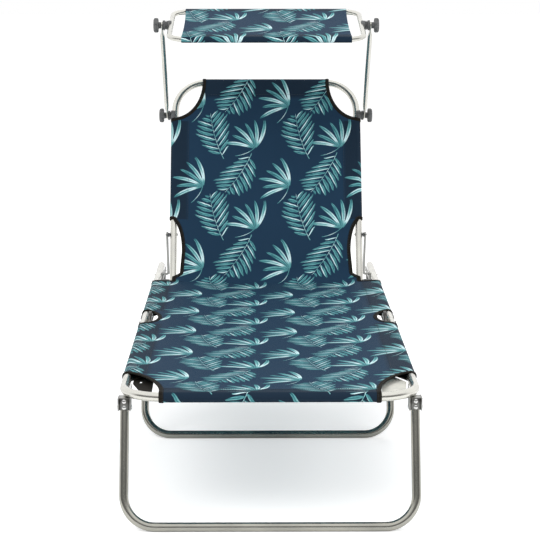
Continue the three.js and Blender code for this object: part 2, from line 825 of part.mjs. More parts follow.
// Strut: a round rod from an eye on the backrest to a tip bent out over the rack
function strut() {
  const section = new THREE.Shape(polygon(strutDiameter / 2, slimSides));
  const tip = sideX - tubeRadius - 2 * clearance;
  const rod = alongPath(section, bentPath([
    new THREE.Vector3(strutX, (strutEye * 3) / 4, 0),
    new THREE.Vector3(strutX, strutLength, 0),
    new THREE.Vector3(tip, strutLength, 0),
  ], strutBend));
  const half = strutEyeThickness / 2;
  const eye = barX(strutEye, strutX - half, strutX + half, 0, 0);
  const hole = barX(pinDiameter / 2 + drillClearance, strutX - strutDiameter, strutX + strutDiameter, 0, 0);
  return cut(join(rod, eye), hole);
}

// Canopy arms, blocks and knobs, on axes along X

const blockFace = armX - armFlat / 2 - clearance;
const screwWeb = clearance + discGroove;
const screwGap = screwWeb + 2 * clearance;

function clampBlock(diameter, tubeX, tubeSize, sides) {
  const inner = tubeX - blockInset;
  const core = barX(diameter / 2, inner, blockFace - blockStep, 0, 0, turnSides);
  const neck = barX(discDiameter / 2 - discGroove, inner + blockInset, blockFace, 0, 0, turnSides);
  const disc = barX(discDiameter / 2, blockFace - discGroove, blockFace, 0, 0, turnSides);
  const body = join(core, neck, disc);
  const boreRadius = (tubeSize / 2 + clearance) / Math.cos(Math.PI / sides);
  const bore = barY(boreRadius, -diameter, diameter, tubeX, 0, sides);
  const screwEnd = tubeX + tubeSize / 2 + screwWeb;
  const screw = barX(knobScrew / 2 + drillClearance, screwEnd, blockFace + overrun, 0, 0);
  return cut(body, bore, screw);
}

// A drawn tube with its ends pressed flat, as rings whose width and thickness change along it.
function arm() {
  const sides = slimSides;
  const stations = [
    ...quarterShares.map((share) => {
      const angle = (Math.PI / 2) * share;
      return { y: -armEye * Math.cos(angle), width: armEye * Math.sin(angle), flat: 1 };
    }),
    { y: armFlatLength, width: armEye, flat: 1 },
    { y: armFlatLength + armTaper, width: armDiameter / 2, flat: 0 },
  ].filter(({ width }) => width > 0);
  const mirror = stations.slice().reverse()
    .map(({ y, width, flat }) => ({ y: armLength - y, width, flat }));
  const rings = [...stations, ...mirror];
  const positions = [];
  rings.forEach(({ y, width, flat }) => {
    const thick = flat * (armFlat / 2) + (1 - flat) * (armDiameter / 2);
    polygon(1, sides).forEach((unit) => {
      const square = flat * Math.max(Math.abs(unit.x), Math.abs(unit.y)) + (1 - flat);
      const boxed = flat > 0 ? Math.sign(unit.x) * thick : unit.x * thick;
      positions.push(armX + boxed, y, (unit.y / square) * width);
    });
  });
  const start = positions.length / 3;
  positions.push(armX, rings[0].y, 0, armX, rings[rings.length - 1].y, 0);
  const corners = [];
  for (let ring = 0; ring < rings.length - 1; ring += 1) {
    for (let k = 0; k < sides; k += 1) {
      const a = ring * sides + k;
      const b = ring * sides + ((k + 1) % sides);
      corners.push(a, a + sides, b, b, a + sides, b + sides);
    }
  }
  const lastRing = (rings.length - 1) * sides;
  for (let k = 0; k < sides; k += 1) {
    const next = (k + 1) % sides;
    corners.push(start, k, next, start + 1, lastRing + next, lastRing + k);
  }
  const geometry = new THREE.BufferGeometry();
  geometry.setAttribute('position', new THREE.BufferAttribute(new Float32Array(positions), 3));
  geometry.setIndex(corners);
  const drills = [0, armLength].map((y) => (
    barX(knobScrew / 2 + drillClearance, armX - armDiameter, armX + armDiameter, y, 0)));
  return cut(geometry, ...drills);
}

function knob(screwTip) {
  const face = armX + armFlat / 2 + clearance;
  const rim = knobDiameter / 2;
  const capStart = face + knobBossHeight;
  const capEnd = capStart + knobHeight;
  const body = turnedX([
    [0, screwTip], [knobScrew / 2, screwTip], [knobScrew / 2, face], [knobBoss / 2, face],
    [knobBoss / 2, capStart], [rim - knobDome, capStart], [rim, capStart + knobDome],
    [rim, capEnd - knobDome], [rim - knobDome, capEnd - knobDome / 3], [0, capEnd],
  ], 0, 0, knobFlutes * 2);
  const flutes = Array.from({ length: knobFlutes }, (_, k) => {
    const angle = (k * 2 * Math.PI) / knobFlutes;
    const reach = rim + fluteDiameter * (1 - fluteBiteShare) / 2;
    return barX(fluteDiameter / 2, capStart - overrun, capEnd + overrun, reach * Math.cos(angle),
      reach * Math.sin(angle), fluteSides);
  });
  return cut(body, ...flutes);
}

function canopyFrame() {
  const front = -canopyDepth / 2;
  const rear = canopyDepth / 2;
  const section = ringSection(canopyRadius, slimSides, canopyRadius - canopyWall, slimBoreSides);
  return alongPath(section, bentPath([
    new THREE.Vector3(buttGap / 2, rear, 0),
    new THREE.Vector3(canopyX, rear, 0),
    new THREE.Vector3(canopyX, front, 0),
    new THREE.Vector3(-canopyX, front, 0),
    new THREE.Vector3(-canopyX, rear, 0),
    new THREE.Vector3(-buttGap / 2, rear, 0),
  ], canopyBend));
}

function canopySheet() {
  const half = canopyDepth / 2;
  const reach = canopyX - canopyBend;
  const rowShares = [-1, -0.75, -0.5, -0.25, 0, 0.25, 0.5, 0.75, 1];
  const cloth = sheet(rowShares, acrossShares, (rowShare, share) => {
    const between = 1 - rowShare * rowShare;
    const width = canopyX - canopyClothInset - canopyWaist * between;
    return new THREE.Vector3(share * width, rowShare * half, canopyClothTop - canopySag * between);
  });
  const hems = [-half, half].map((y) => sleeve(canopyRadius, slimSides,
    new THREE.Vector3(-reach, y, 0), new THREE.Vector3(reach, y, 0)));
  return join(cloth, ...hems);
}

// The assembly, each section in a group at its hinge

const lounger = new THREE.Group();

lounger.add(
  piece('foot_frame', footFrame(), 'aluminium'),
  piece('foot_sling', footSling(), 'cloth'),
  ...pair('foot_hinge_plate', hingePlate(-1, footPlateX), 'steel'),
  ...pair('front_leg_bracket',
    legBracket(frontLegPivotY, frontLean, 1, cornerTubeX(frontLegPivotY), true), 'steel'),
  ...pair('front_leg_pin', legPin(frontLegPivotY), 'chrome'),
  leg('front_leg', frontLegPivotY, -frontLegReach),
);

lounger.add(
  ...pair('seat_tube', seatTube(), 'aluminium'),
  ...pair('seat_end_cap', endCap(), 'plastic'),
  piece('seat_sling', seatSling(), 'cloth'),
  ...pair('seat_hinge_plate', hingePlate(1, seatPlateX), 'steel'),
  ...pair('fold_rivet', join(foldRivet()), 'chrome'),
  ...pair('rack', rack(), 'steel'),
  ...pair('rack_front_rivet', rackRivet(rackRivetYs[0], rackRivetZs[0]), 'chrome'),
  ...pair('rack_rear_rivet', rackRivet(rackRivetYs[1], rackRivetZs[1]), 'chrome'),
  ...pair('recline_bolt', reclineBolt(), 'chrome'),
  ...pair('recline_spacer', reclineSpacer(), 'plastic'),
  ...pair('middle_leg_bracket', legBracket(middlePivotY, middleLean, 1, sideX, false), 'steel'),
  ...pair('rear_leg_bracket', legBracket(rearPivotY, rearLean, -1, sideX, false), 'steel'),
  ...pair('middle_leg_pin', legPin(middlePivotY), 'chrome'),
  ...pair('rear_leg_pin', legPin(rearPivotY), 'chrome'),
  leg('middle_leg', middlePivotY, -middleLegReach),
  leg('rear_leg', rearPivotY, rearLegReach),
);

const backrest = new THREE.Group();
backrest.position.set(0, backPivotY, seatHeight);
backrest.rotation.x = radians(reclineAngle);
backrest.add(
  piece('backrest_frame', backFrame(), 'aluminium'),
  piece('back_sling', backSling(), 'cloth'),
  ...pair('strut_bolt', strutBolt(), 'chrome'),
  ...pair('arm_clamp', clampBlock(blockDiameter, backX, tubeDiameter, tubeSides), 'plastic',
    new THREE.Vector3(0, armPivot, 0)),
);
lounger.add(backrest);

const struts = new THREE.Group();
struts.position.set(0, strutLength, 0);
struts.rotation.x = radians(-2 * reclineAngle);
struts.add(...pair('strut', strut(), 'steel'));
backrest.add(struts);

const arms = new THREE.Group();
arms.position.set(0, armPivot, 0);
arms.rotation.x = radians(armAngle - reclineAngle);
arms.add(
  ...pair('canopy_arm', arm(), 'aluminium'),
  ...pair('lower_knob', knob(backX + tubeRadius + screwGap), 'plastic'),
  ...pair('upper_knob', knob(canopyX + canopyRadius + screwGap), 'plastic',
    new THREE.Vector3(0, armLength, 0)),
);
backrest.add(arms);

const canopy = new THREE.Group();
canopy.position.set(0, armLength, 0);
canopy.rotation.x = radians(canopyAngle - armAngle);
canopy.add(
  piece('canopy_frame', canopyFrame(), 'aluminium'),
  piece('canopy_sheet', canopySheet(), 'cloth'),
  ...pair('canopy_block', clampBlock(smallBlockDiameter, canopyX, canopyTube, slimSides), 'plastic'),
);
arms.add(canopy);

lounger.position.y = -originY;

export default lounger;
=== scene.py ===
import json
import math

import bmesh
import bpy
from mathutils import Matrix, Vector


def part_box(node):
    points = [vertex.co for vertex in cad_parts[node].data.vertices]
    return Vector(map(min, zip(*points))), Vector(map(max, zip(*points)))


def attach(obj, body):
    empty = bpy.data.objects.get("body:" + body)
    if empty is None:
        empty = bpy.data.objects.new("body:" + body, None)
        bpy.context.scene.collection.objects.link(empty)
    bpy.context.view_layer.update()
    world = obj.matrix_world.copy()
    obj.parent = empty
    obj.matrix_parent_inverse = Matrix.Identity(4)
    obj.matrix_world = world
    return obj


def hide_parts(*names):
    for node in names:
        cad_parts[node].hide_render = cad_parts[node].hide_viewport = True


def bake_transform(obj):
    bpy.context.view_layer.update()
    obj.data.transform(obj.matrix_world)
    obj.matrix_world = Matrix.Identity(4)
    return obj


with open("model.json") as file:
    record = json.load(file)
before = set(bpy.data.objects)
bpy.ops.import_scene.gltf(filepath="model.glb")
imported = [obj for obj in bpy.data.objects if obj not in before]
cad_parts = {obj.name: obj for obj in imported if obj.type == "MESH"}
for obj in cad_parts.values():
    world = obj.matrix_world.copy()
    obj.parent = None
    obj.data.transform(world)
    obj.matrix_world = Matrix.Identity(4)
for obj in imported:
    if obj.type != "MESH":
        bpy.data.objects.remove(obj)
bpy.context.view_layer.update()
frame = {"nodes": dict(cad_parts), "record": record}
nodes = frame["nodes"]

# The frame's driving sizes, in metres. Lengths along the lounger start at the middle of the front tube
TUBE = 0.009
TUBE_SIDES = 12
TUBE_FLAT = TUBE * math.cos(math.pi / TUBE_SIDES)
SIDE_X = 0.281
BACK_X = 0.239
LEG_X = 0.279
TUBE_Z = 0.254
FRAME_BEND = 0.08
LEG_BEND = 0.06
LEG_PIVOT_Z = 0.224
FOLD = 0.744
FOLD_RISE = 0.013
SEAT_REAR = 1.516
PIVOT_Y = 1.255
BACK_LENGTH = 0.555
BACK_TAIL = 0.01
RECLINE = math.radians(62)
STRUT = 0.128
ARM_LENGTH = 0.3435
ARM_X = 0.26
ARM_FROM_HEAD = 0.093
ARM_TURN = math.radians(134.5)
CANOPY_X = 0.237
CANOPY_HALF = 0.153
CANOPY_BEND = 0.045
CANOPY_TUBE = 0.0065
CANOPY_TURN = math.radians(10.8)
CLEAR = 0.0003

# Places worked out from them in the frame's own axes
FRONT_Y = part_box("foot_frame")[0][1] + TUBE_FLAT
HINGE_Y = FRONT_Y + FOLD
LEG_DROP = LEG_PIVOT_Z - TUBE_FLAT
PIVOT = Vector((0, FRONT_Y + PIVOT_Y, TUBE_Z))
BACK = Matrix.Translation(PIVOT) @ Matrix.Rotation(RECLINE, 4, "X")
ARM_BASE = BACK @ Matrix.Translation((0, BACK_LENGTH - ARM_FROM_HEAD, 0))
ARMS = Matrix.Translation(ARM_BASE.translation) @ Matrix.Rotation(ARM_TURN, 4, "X")
CANOPY = Matrix.Translation(ARMS @ Vector((0, ARM_LENGTH, 0))) @ Matrix.Rotation(CANOPY_TURN, 4, "X")
SIDES = (("left", -1), ("right", 1))

# Each leg's name, the body that carries it, where it's pinned and how far its foot reaches from there
LEGS = (("front", "foot", 0.045, -0.077), ("middle", "seat", FOLD + 0.014, -0.101),
        ("rear", "seat", FOLD + 0.696, 0.06))


def fitted(made, body, slot, *replaced):
    """Puts a finished piece on its body and hides the nodes it stands for. Its slot is not used."""
    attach(made, body)
    if replaced:
        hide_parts(*replaced)
    return made


# Node trees: a socket that maths can be written on


class Wire:
    def __init__(self, tree, socket):
        self.tree, self.socket = tree, socket

    def do(self, operation, *others, clamp=False):
        maths = self.tree.nodes.new("ShaderNodeMath")
        maths.operation, maths.use_clamp = operation, clamp
        for k, value in enumerate((self, *others)):
            if isinstance(value, Wire):
                self.tree.links.new(value.socket, maths.inputs[k])
            else:
                maths.inputs[k].default_value = value
        return Wire(self.tree, maths.outputs[0])

    def __add__(self, other):
        return self.do("ADD", other)

    def __sub__(self, other):
        return self.do("SUBTRACT", other)

    def __mul__(self, other):
        return self.do("MULTIPLY", other)

    def __truediv__(self, other):
        return self.do("DIVIDE", other)

    def __pow__(self, other):
        return self.do("POWER", other)

    def size(self):
        return self.do("ABSOLUTE")

    def high(self, other):
        return self.do("MAXIMUM", other)

    def flipped(self):
        return self.do("MULTIPLY_ADD", -1.0, 1.0)

    def clamped(self):
        return self.do("ADD", 0.0, clamp=True)


def node(tree, kind, inputs=None, **settings):
    made = tree.nodes.new(kind)
    for name, value in settings.items():
        setattr(made, name, value)
    for name, value in (inputs or {}).items():
        if isinstance(value, Wire):
            tree.links.new(value.socket, made.inputs[name])
        elif isinstance(value, bpy.types.NodeSocket):
            tree.links.new(value, made.inputs[name])
        else:
            made.inputs[name].default_value = value
    return made


def step(wire, edge, width):
    """0 below edge, 1 above edge + width, smooth between."""
    made = node(wire.tree, "ShaderNodeMapRange", {"Value": wire, "From Min": edge, "From Max": edge + width},
                interpolation_type="SMOOTHSTEP")
    return Wire(wire.tree, made.outputs["Result"])


def blend_colour(tree, factor, first, second):
    made = node(tree, "ShaderNodeMix", data_type="RGBA", clamp_factor=True)
    for index, value in ((0, factor), (6, first), (7, second)):
        if isinstance(value, Wire):
            tree.links.new(value.socket, made.inputs[index])
        elif isinstance(value, bpy.types.NodeSocket):
            tree.links.new(value, made.inputs[index])
        else:
            made.inputs[index].default_value = value
    return made.outputs[2]


def rgb(*values):
    return (*values, 1.0)


def material(name, **sockets):
    made = bpy.data.materials.new(name)
    made.use_nodes = True
    tree = made.node_tree
    shader = tree.nodes["Principled BSDF"]
    for socket, value in sockets.items():
        shader.inputs[socket.replace("_", " ")].default_value = value
    return made, tree, shader


def noise(tree, vector, scale, detail=3.0, roughness=0.55):
    made = node(tree, "ShaderNodeTexNoise", {"Vector": vector, "Scale": scale, "Detail": detail,
                                             "Roughness": roughness})
    return Wire(tree, made.outputs["Fac"])


def bump(tree, shader, height, strength, distance):
    made = node(tree, "ShaderNodeBump", {"Height": height, "Strength": strength, "Distance": distance})
    tree.links.new(made.outputs["Normal"], shader.inputs["Normal"])


def stretched(tree, vector, scale):
    return node(tree, "ShaderNodeMapping", {"Vector": vector, "Scale": scale}).outputs["Vector"]


def spot_tone(tree, shader, vector, first, second, scale=40.0):
    """Slow patches between two tones."""
    patches = step(noise(tree, vector, scale), 0.35, 0.3)
    tree.links.new(blend_colour(tree, patches, first, second), shader.inputs["Base Color"])
    return patches


TUBE_GRAIN = (900.0, 6.0, 1.0)
PLATE_GRAIN = (90.0, 700.0, 700.0)
CHROME_GRAIN = (60.0, 60.0, 60.0)


def metal(name, first, second, rough, grain=TUBE_GRAIN, relief=0.04, follows="UV"):
    """Drawn or rolled metal: fine streaks along the surface, with duller patches."""
    made, tree, shader = material(name, Metallic=1.0, Roughness=rough)
    coordinates = node(tree, "ShaderNodeTexCoord").outputs[follows]
    streak = noise(tree, stretched(tree, coordinates, grain), 1.0, 4.0)
    patches = spot_tone(tree, shader, coordinates, first, second, 9.0)
    level = streak * 0.16 + patches * 0.05 + (rough - 0.1)
    tree.links.new(level.socket, shader.inputs["Roughness"])
    bump(tree, shader, streak, relief, 0.0004)
    return made


def plastic(name, first, second, rough=0.5):
    made, tree, shader = material(name, Roughness=rough)
    coordinates = node(tree, "ShaderNodeTexCoord").outputs["Object"]
    spot_tone(tree, shader, coordinates, first, second, 60.0)
    grain = noise(tree, coordinates, 1800.0, 2.0)
    tree.links.new((grain * 0.15 + (rough - 0.07)).socket, shader.inputs["Roughness"])
    bump(tree, shader, grain, 0.12, 0.0003)
    return made


ALUMINIUM = metal("drawn_aluminium", rgb(0.84, 0.83, 0.76), rgb(0.74, 0.73, 0.68), 0.22)
# The legs' metal is a darker copy of the frame's aluminium: painted shade for where the legs stand under the
# lounger
SHADED_LEG_METAL = metal("leg_tube", rgb(0.55, 0.54, 0.48), rgb(0.46, 0.455, 0.41), 0.2)
PALE = plastic("pale_tag", rgb(0.74, 0.73, 0.66), rgb(0.64, 0.64, 0.58), 0.6)
# A darker copy of the zinc steel: painted shade and a painted dark reflection, for a bracket channel's web
# and the fold's hinge plates in their notch
SHADED_STEEL = metal("steel_painted_shade", rgb(0.24, 0.24, 0.23), rgb(0.17, 0.17, 0.165), 0.36, PLATE_GRAIN, 0.06,
                   "Object")
STEEL = metal("zinc_steel", rgb(0.52, 0.52, 0.50), rgb(0.42, 0.42, 0.41), 0.38, PLATE_GRAIN, 0.06, "Object")
CHROME = metal("chrome", rgb(0.86, 0.86, 0.85), rgb(0.80, 0.80, 0.79), 0.17, CHROME_GRAIN, 0.02, "Object")
GREY = plastic("grey_plastic", rgb(0.13, 0.133, 0.135), rgb(0.085, 0.088, 0.09), 0.27)


# Printed cloth


def leaf_group(name):
    tree = bpy.data.node_groups.new(name, "ShaderNodeTree")
    for socket in ("Along", "Across"):
        tree.interface.new_socket(socket, in_out="INPUT", socket_type="NodeSocketFloat")
    for socket in ("Cover", "Tone"):
        tree.interface.new_socket(socket, in_out="OUTPUT", socket_type="NodeSocketFloat")
    start = tree.nodes.new("NodeGroupInput")
    return tree, Wire(tree, start.outputs[0]), Wire(tree, start.outputs[1])


def leaf_end(tree, cover, tone):
    end = tree.nodes.new("NodeGroupOutput")
    tree.links.new(cover.socket, end.inputs[0])
    tree.links.new(tone.socket, end.inputs[1])
    return tree


def streaks(tree, first, second, third):
    """Brush strokes that run with a leaf's blades."""
    spot = node(tree, "ShaderNodeCombineXYZ", {"X": first, "Y": second, "Z": third})
    return noise(tree, spot.outputs[0], 1.0, 2.5, 0.6)


def frond():
    """A feather leaf one unit long: leaflets swept forward from a bent stem."""
    tree, along, across = leaf_group("frond")
    pitch = 0.115
    off = across - along * along * 0.17
    side = step(off, -0.001, 0.002)
    out = off.size()
    root = along - out * 0.5 - out * out * 0.6
    sway = streaks(tree, along * 5.0, side * 3.0, out * 2.0)
    count = root / pitch + side * 0.45 + sway * 0.5
    which = (count.do("FLOOR") * 2.39 + side * 1.7).do("SINE")
    offset = count.do("FRACT") - 0.5
    reach = ((root * 0.84 + 0.15).clamped() * math.pi).do("SINE") ** 0.7 * (which * 0.03 + 0.405) + 0.0001
    share = (out / reach).clamped()
    width = share ** 0.7 * share.flipped() ** 0.7
    inside = step(root, -0.03, 0.01) * step(root, 0.95, 0.01).flipped()
    leaflets = step(width - offset.size(), 0.0, 0.06) * inside
    stem = step(out + along * 0.004, 0.006, 0.004).flipped() * step(along, -0.12, 0.01) \
        * step(along, 1.0, 0.01).flipped()
    edge = (offset / (width + 0.04)).clamped()
    vein = step(offset.size(), 0.02, 0.05).flipped() * step(share, 0.1, 0.3)
    stroke = streaks(tree, count * 7.0, out * 9.0, side * 5.0)
    glow = step(which, -0.1, 0.5) * share.flipped() ** 1.2 * step(edge, 0.1, 0.4)
    tone = edge * 0.3 + glow * 1.5 + (stroke - 0.45) + 0.14 - vein * 0.3
    return leaf_end(tree, leaflets.high(stem), tone.high(stem * 0.2).clamped())


def plume():
    """A half fan one unit across: blades that spring from the inside of one sweeping stem."""
    tree, along, across = leaf_group("plume")
    fan = 0.34
    ahead = along * 0.8 + across * 0.6
    aside = across * 0.8 - along * 0.6
    bow = aside + ahead * ahead * 0.85 + 0.03
    rise = step(ahead, 0.0, 0.16) * step(ahead, 0.16, 0.4).flipped() * 0.02 + 0.011
    stem = step(rise - bow.size(), 0.0, 0.008) * step(ahead, -0.44, 0.03) * step(ahead, 0.6, 0.03).flipped()
    far = (along * along + across * across).do("SQRT")
    angle = across.do("ARCTAN2", along) + far * 0.42 - 0.12
    turn = angle / fan
    offset = (turn + 0.5).do("FRACT") - 0.5
    blade = (turn + 0.5).do("FLOOR")
    which = (blade * 2.7).do("SINE")
    reach = which * 0.06 + 0.7 + blade * 0.012
    share = (far / reach).clamped()
    arc = (offset * fan * far).size()
    width = share ** 0.9 * share.flipped() ** 0.6 * 0.125
    inside = step(turn, -4.5, 0.01) * step(turn, 1.5, 0.01).flipped() * step(far, 0.03, 0.02)
    blades = step(width - arc, 0.0, 0.01) * inside
    edge = (offset * fan * far / (width + 0.01)).clamped()
    vein = step(arc, 0.003, 0.006).flipped() * step(share, 0.15, 0.3)
    stroke = streaks(tree, turn * 9.0, far * 5.0, blade)
    glow = step(which, -0.4, 0.6) * share.flipped() ** 1.4 * step(far, 0.1, 0.15)
    tone = edge * 0.35 + glow * 1.1 + (stroke - 0.45) * 1.2 + 0.14 - vein * 0.25
    return leaf_end(tree, blades.high(stem), tone.high(stem * 0.22).clamped())


FROND, PLUME = frond(), plume()

# The print's tile, and in it each leaf's group, place, heading in degrees from the cloth's length, and length
LEAF_TILE = (0.224, 0.226)
LEAVES = ((FROND, 0.084, 0.058, 24.0, 0.117), (PLUME, 0.200, 0.050, -9.0, 0.119),
          (FROND, 0.158, 0.170, 156.0, 0.115), (PLUME, 0.050, 0.166, 24.0, 0.119))

# The print's colours, and how far apart its threads lie
GROUND, HEM = rgb(0.0165, 0.044, 0.085), rgb(0.0125, 0.0225, 0.037)
LEAF_DEEP, LEAF_MID, LEAF_GLOW = rgb(0.026, 0.125, 0.155), rgb(0.14, 0.41, 0.43), rgb(0.66, 0.86, 0.90)
THREAD_PITCH = 0.0011


def printed_cloth():
    """A plain weave with the leaf print, darker where an attribute says that the cloth lies double."""
    made, tree, shader = material("printed_cloth", Roughness=0.66, Sheen_Weight=0.01, Sheen_Roughness=0.4,
                                  Specular_IOR_Level=0.06)
    shader.inputs["Sheen Tint"].default_value = rgb(0.75, 0.85, 1.0)
    uv = node(tree, "ShaderNodeUVMap", uv_map="UVMap").outputs["UV"]
    split = node(tree, "ShaderNodeSeparateXYZ", {"Vector": uv})
    across, along = (Wire(tree, split.outputs[k]) for k in ("X", "Y"))
    cover = tone = None
    for group, x, y, heading, length in LEAVES:
        angle = math.radians(heading)
        near = [(wire - place).do("WRAP", tile / 2, -tile / 2)
                for wire, place, tile in ((across, x, LEAF_TILE[0]), (along, y, LEAF_TILE[1]))]
        c, s = math.cos(angle) / length, math.sin(angle) / length
        forward = near[1] * c - near[0] * s
        sideways = near[0] * c + near[1] * s
        start = 0.5 if group is FROND else 0.25
        leaf = tree.nodes.new("ShaderNodeGroup")
        leaf.node_tree = group
        tree.links.new((forward + start).socket, leaf.inputs[0])
        tree.links.new(sideways.socket, leaf.inputs[1])
        this_cover, this_tone = Wire(tree, leaf.outputs[0]), Wire(tree, leaf.outputs[1])
        cover = this_cover if cover is None else cover.high(this_cover)
        part = this_tone * this_cover
        tone = part if tone is None else tone.high(part)
    brush = noise(tree, stretched(tree, uv, (240.0, 240.0, 1.0)), 1.0, 2.0)
    tone = (tone + (brush - 0.5) * 0.12).clamped()
    double = Wire(tree, node(tree, "ShaderNodeAttribute", attribute_name="double").outputs["Fac"])
    cloudy = noise(tree, stretched(tree, uv, (7.0, 4.0, 1.0)), 1.0, 2.0)
    base = blend_colour(tree, cloudy, GROUND, rgb(*(0.84 * v for v in GROUND[:3])))
    base = blend_colour(tree, double * 0.75, base, HEM)
    leaves = blend_colour(tree, step(tone, 0.0, 0.4), LEAF_DEEP, LEAF_MID)
    leaves = blend_colour(tree, step(tone, 0.38, 0.45), leaves, LEAF_GLOW)
    colour = blend_colour(tree, cover, base, leaves)
    tree.links.new(colour, shader.inputs["Base Color"])
    threads = [(wire * (2 * math.pi / THREAD_PITCH)).do("SINE") for wire in (across, along)]
    weave = (threads[0] * threads[1]) * 0.5 + 0.5
    bump(tree, shader, weave + brush * 0.4, 0.22, 0.0004)
    tree.links.new((weave * 0.08 + 0.56).socket, shader.inputs["Roughness"])
    return made


CLOTH = printed_cloth()
RIB_PITCH = 0.0012


def tape_material():
    """Ribbed tape, woven across its length."""
    made, tree, shader = material("binding_tape", Roughness=0.8, Specular_IOR_Level=0.15)
    coordinates = node(tree, "ShaderNodeTexCoord").outputs["UV"]
    ribs = Wire(tree, node(tree, "ShaderNodeSeparateXYZ", {"Vector": coordinates}).outputs["Y"])
    height = (ribs * (2 * math.pi / RIB_PITCH)).do("SINE") * 0.5 + 0.5
    spot_tone(tree, shader, coordinates, rgb(0.010, 0.009, 0.007), rgb(0.018, 0.016, 0.013), 120.0)
    bump(tree, shader, height, 0.3, 0.0004)
    return made


TAPE = tape_material()


# Meshes


def build(name, points, faces, finish, corners=None, place=Matrix()):
    """An object from points, faces and, for each face, its corners' UVs."""
    mesh = bpy.data.meshes.new(name)
    mesh.from_pydata([tuple(place @ Vector(p)) for p in points], [], faces)
    if corners:
        layer = mesh.uv_layers.new(name="UVMap")
        flat = [value for face in corners for uv in face for value in uv]
        layer.data.foreach_set("uv", flat)
    mesh.validate()
    mesh.update()
    mesh.shade_smooth()
    mesh.materials.append(finish)
    made = bpy.data.objects.new(name, mesh)
    bpy.context.scene.collection.objects.link(made)
    return made


def outward(made):
    work = bmesh.new()
    work.from_mesh(made.data)
    bmesh.ops.recalc_face_normals(work, faces=work.faces)
    work.to_mesh(made.data)
    work.free()
    return made


# Edges that turn more than this are shaded sharp
CREASE = math.radians(50)


def applied(made):
    """The object with its modifiers made part of its mesh, sharp at its creases."""
    bpy.context.view_layer.update()
    deps = bpy.context.evaluated_depsgraph_get()
    mesh = bpy.data.meshes.new_from_object(made.evaluated_get(deps), preserve_all_data_layers=True,
                                           depsgraph=deps)
    made.modifiers.clear()
    made.data = mesh
    mesh.set_sharp_from_angle(angle=CREASE)
    return made


# A hair's length that keeps two rows apart, and the margin within which two places count as one
STEP = 1e-5
NEAR = 1e-6


def skin(name, rings, finish, place=Matrix(), lengths=None, girth=None):
    """Joins rings of points in order and closes both ends, with UVs in metres."""
    sides = len(rings[0])
    points = [p for ring in rings for p in ring]
    if girth is None:
        girth = max(sum((Vector(r[k]) - Vector(r[k - 1])).length for k in range(sides)) for r in rings)
    if lengths is None:
        middles = [sum((Vector(p) for p in ring), Vector()) / sides for ring in rings]
        lengths = [0.0]
        for a, b in zip(middles, middles[1:]):
            lengths.append(lengths[-1] + (b - a).length + STEP)
    faces, corners = [], []
    for r in range(len(rings) - 1):
        for k in range(sides):
            j = (k + 1) % sides
            faces.append((r * sides + k, r * sides + j, (r + 1) * sides + j, (r + 1) * sides + k))
            u0, u1 = girth * k / sides, girth * (k + 1) / sides
            corners.append(((u0, lengths[r]), (u1, lengths[r]), (u1, lengths[r + 1]), (u0, lengths[r + 1])))
    last = (len(rings) - 1) * sides
    for ring in (tuple(reversed(range(sides))), tuple(last + k for k in range(sides))):
        faces.append(ring)
        corners.append(tuple((0.001 * k, 0.0) for k in range(sides)))
    return build(name, points, faces, finish, corners, place)


def bent(corners, bend, steps=14):
    """Points and directions along straight runs joined by round bends."""
    corners = [Vector(c) for c in corners]
    stations = [(corners[0], (corners[1] - corners[0]).normalized())]
    for before, at, after in zip(corners, corners[1:], corners[2:]):
        a, b = (at - before).normalized(), (after - at).normalized()
        turn = a.angle(b)
        across = (b - a * a.dot(b)).normalized()
        start = at - a * bend * math.tan(turn / 2)
        for k in range(steps + 1):
            t = turn * k / steps
            stations.append((start + a * bend * math.sin(t) + across * bend * (1 - math.cos(t)),
                             a * math.cos(t) + across * math.sin(t)))
    stations.append((corners[-1], (corners[-1] - corners[-2]).normalized()))
    return stations


def tube(name, corners, bend, radius, up, finish, place=Matrix(), sides=28, wall=0.001):
    """A smooth tube with hollow ends, along a bent line. up stands square to the line's plane."""
    path = bent(corners, bend)
    up = Vector(up)
    (first, ahead), (last, behind) = path[0], path[-1]
    inner, edge, hollow = radius - wall, 0.0004, 0.02
    stations = [(first + ahead * hollow, ahead, inner), (first, ahead, inner), (first, ahead, radius - edge),
                (first + ahead * edge, ahead, radius), (first + ahead * 5 * edge, ahead, radius)]
    stations += [(point, way, radius) for point, way in path[1:-1]]
    stations += [(last - behind * 5 * edge, behind, radius), (last - behind * edge, behind, radius),
                 (last, behind, radius - edge), (last, behind, inner),
                 (last - behind * hollow, behind, inner)]
    rings, lengths, run, old = [], [], 0.0, stations[0][0]
    for point, way, size in stations:
        across = way.cross(up).normalized()
        rings.append([point + (across * math.cos(t) + up * math.sin(t)) * size
                      for t in (-2 * math.pi * k / sides for k in range(sides))])
        run += (point - old).length + STEP
        lengths.append(run)
        old = point
    return outward(skin(name, rings, finish, place, lengths, 2 * math.pi * radius))


def turned(name, profile, finish, place, sides=32, shape=None):
    """Points of [radius, along] turned about the place's X axis. shape scales a radius by its angle."""
    rings = []
    for radius, along in profile:
        ring = []
        for k in range(sides):
            t = 2 * math.pi * k / sides
            r = radius * (shape(t, radius) if shape else 1.0)
            ring.append((along, r * math.cos(t), r * math.sin(t)))
        rings.append(ring)
    return outward(skin(name, rings, finish, place))


# Foot and seat tubes, backrest, legs and canopy loop

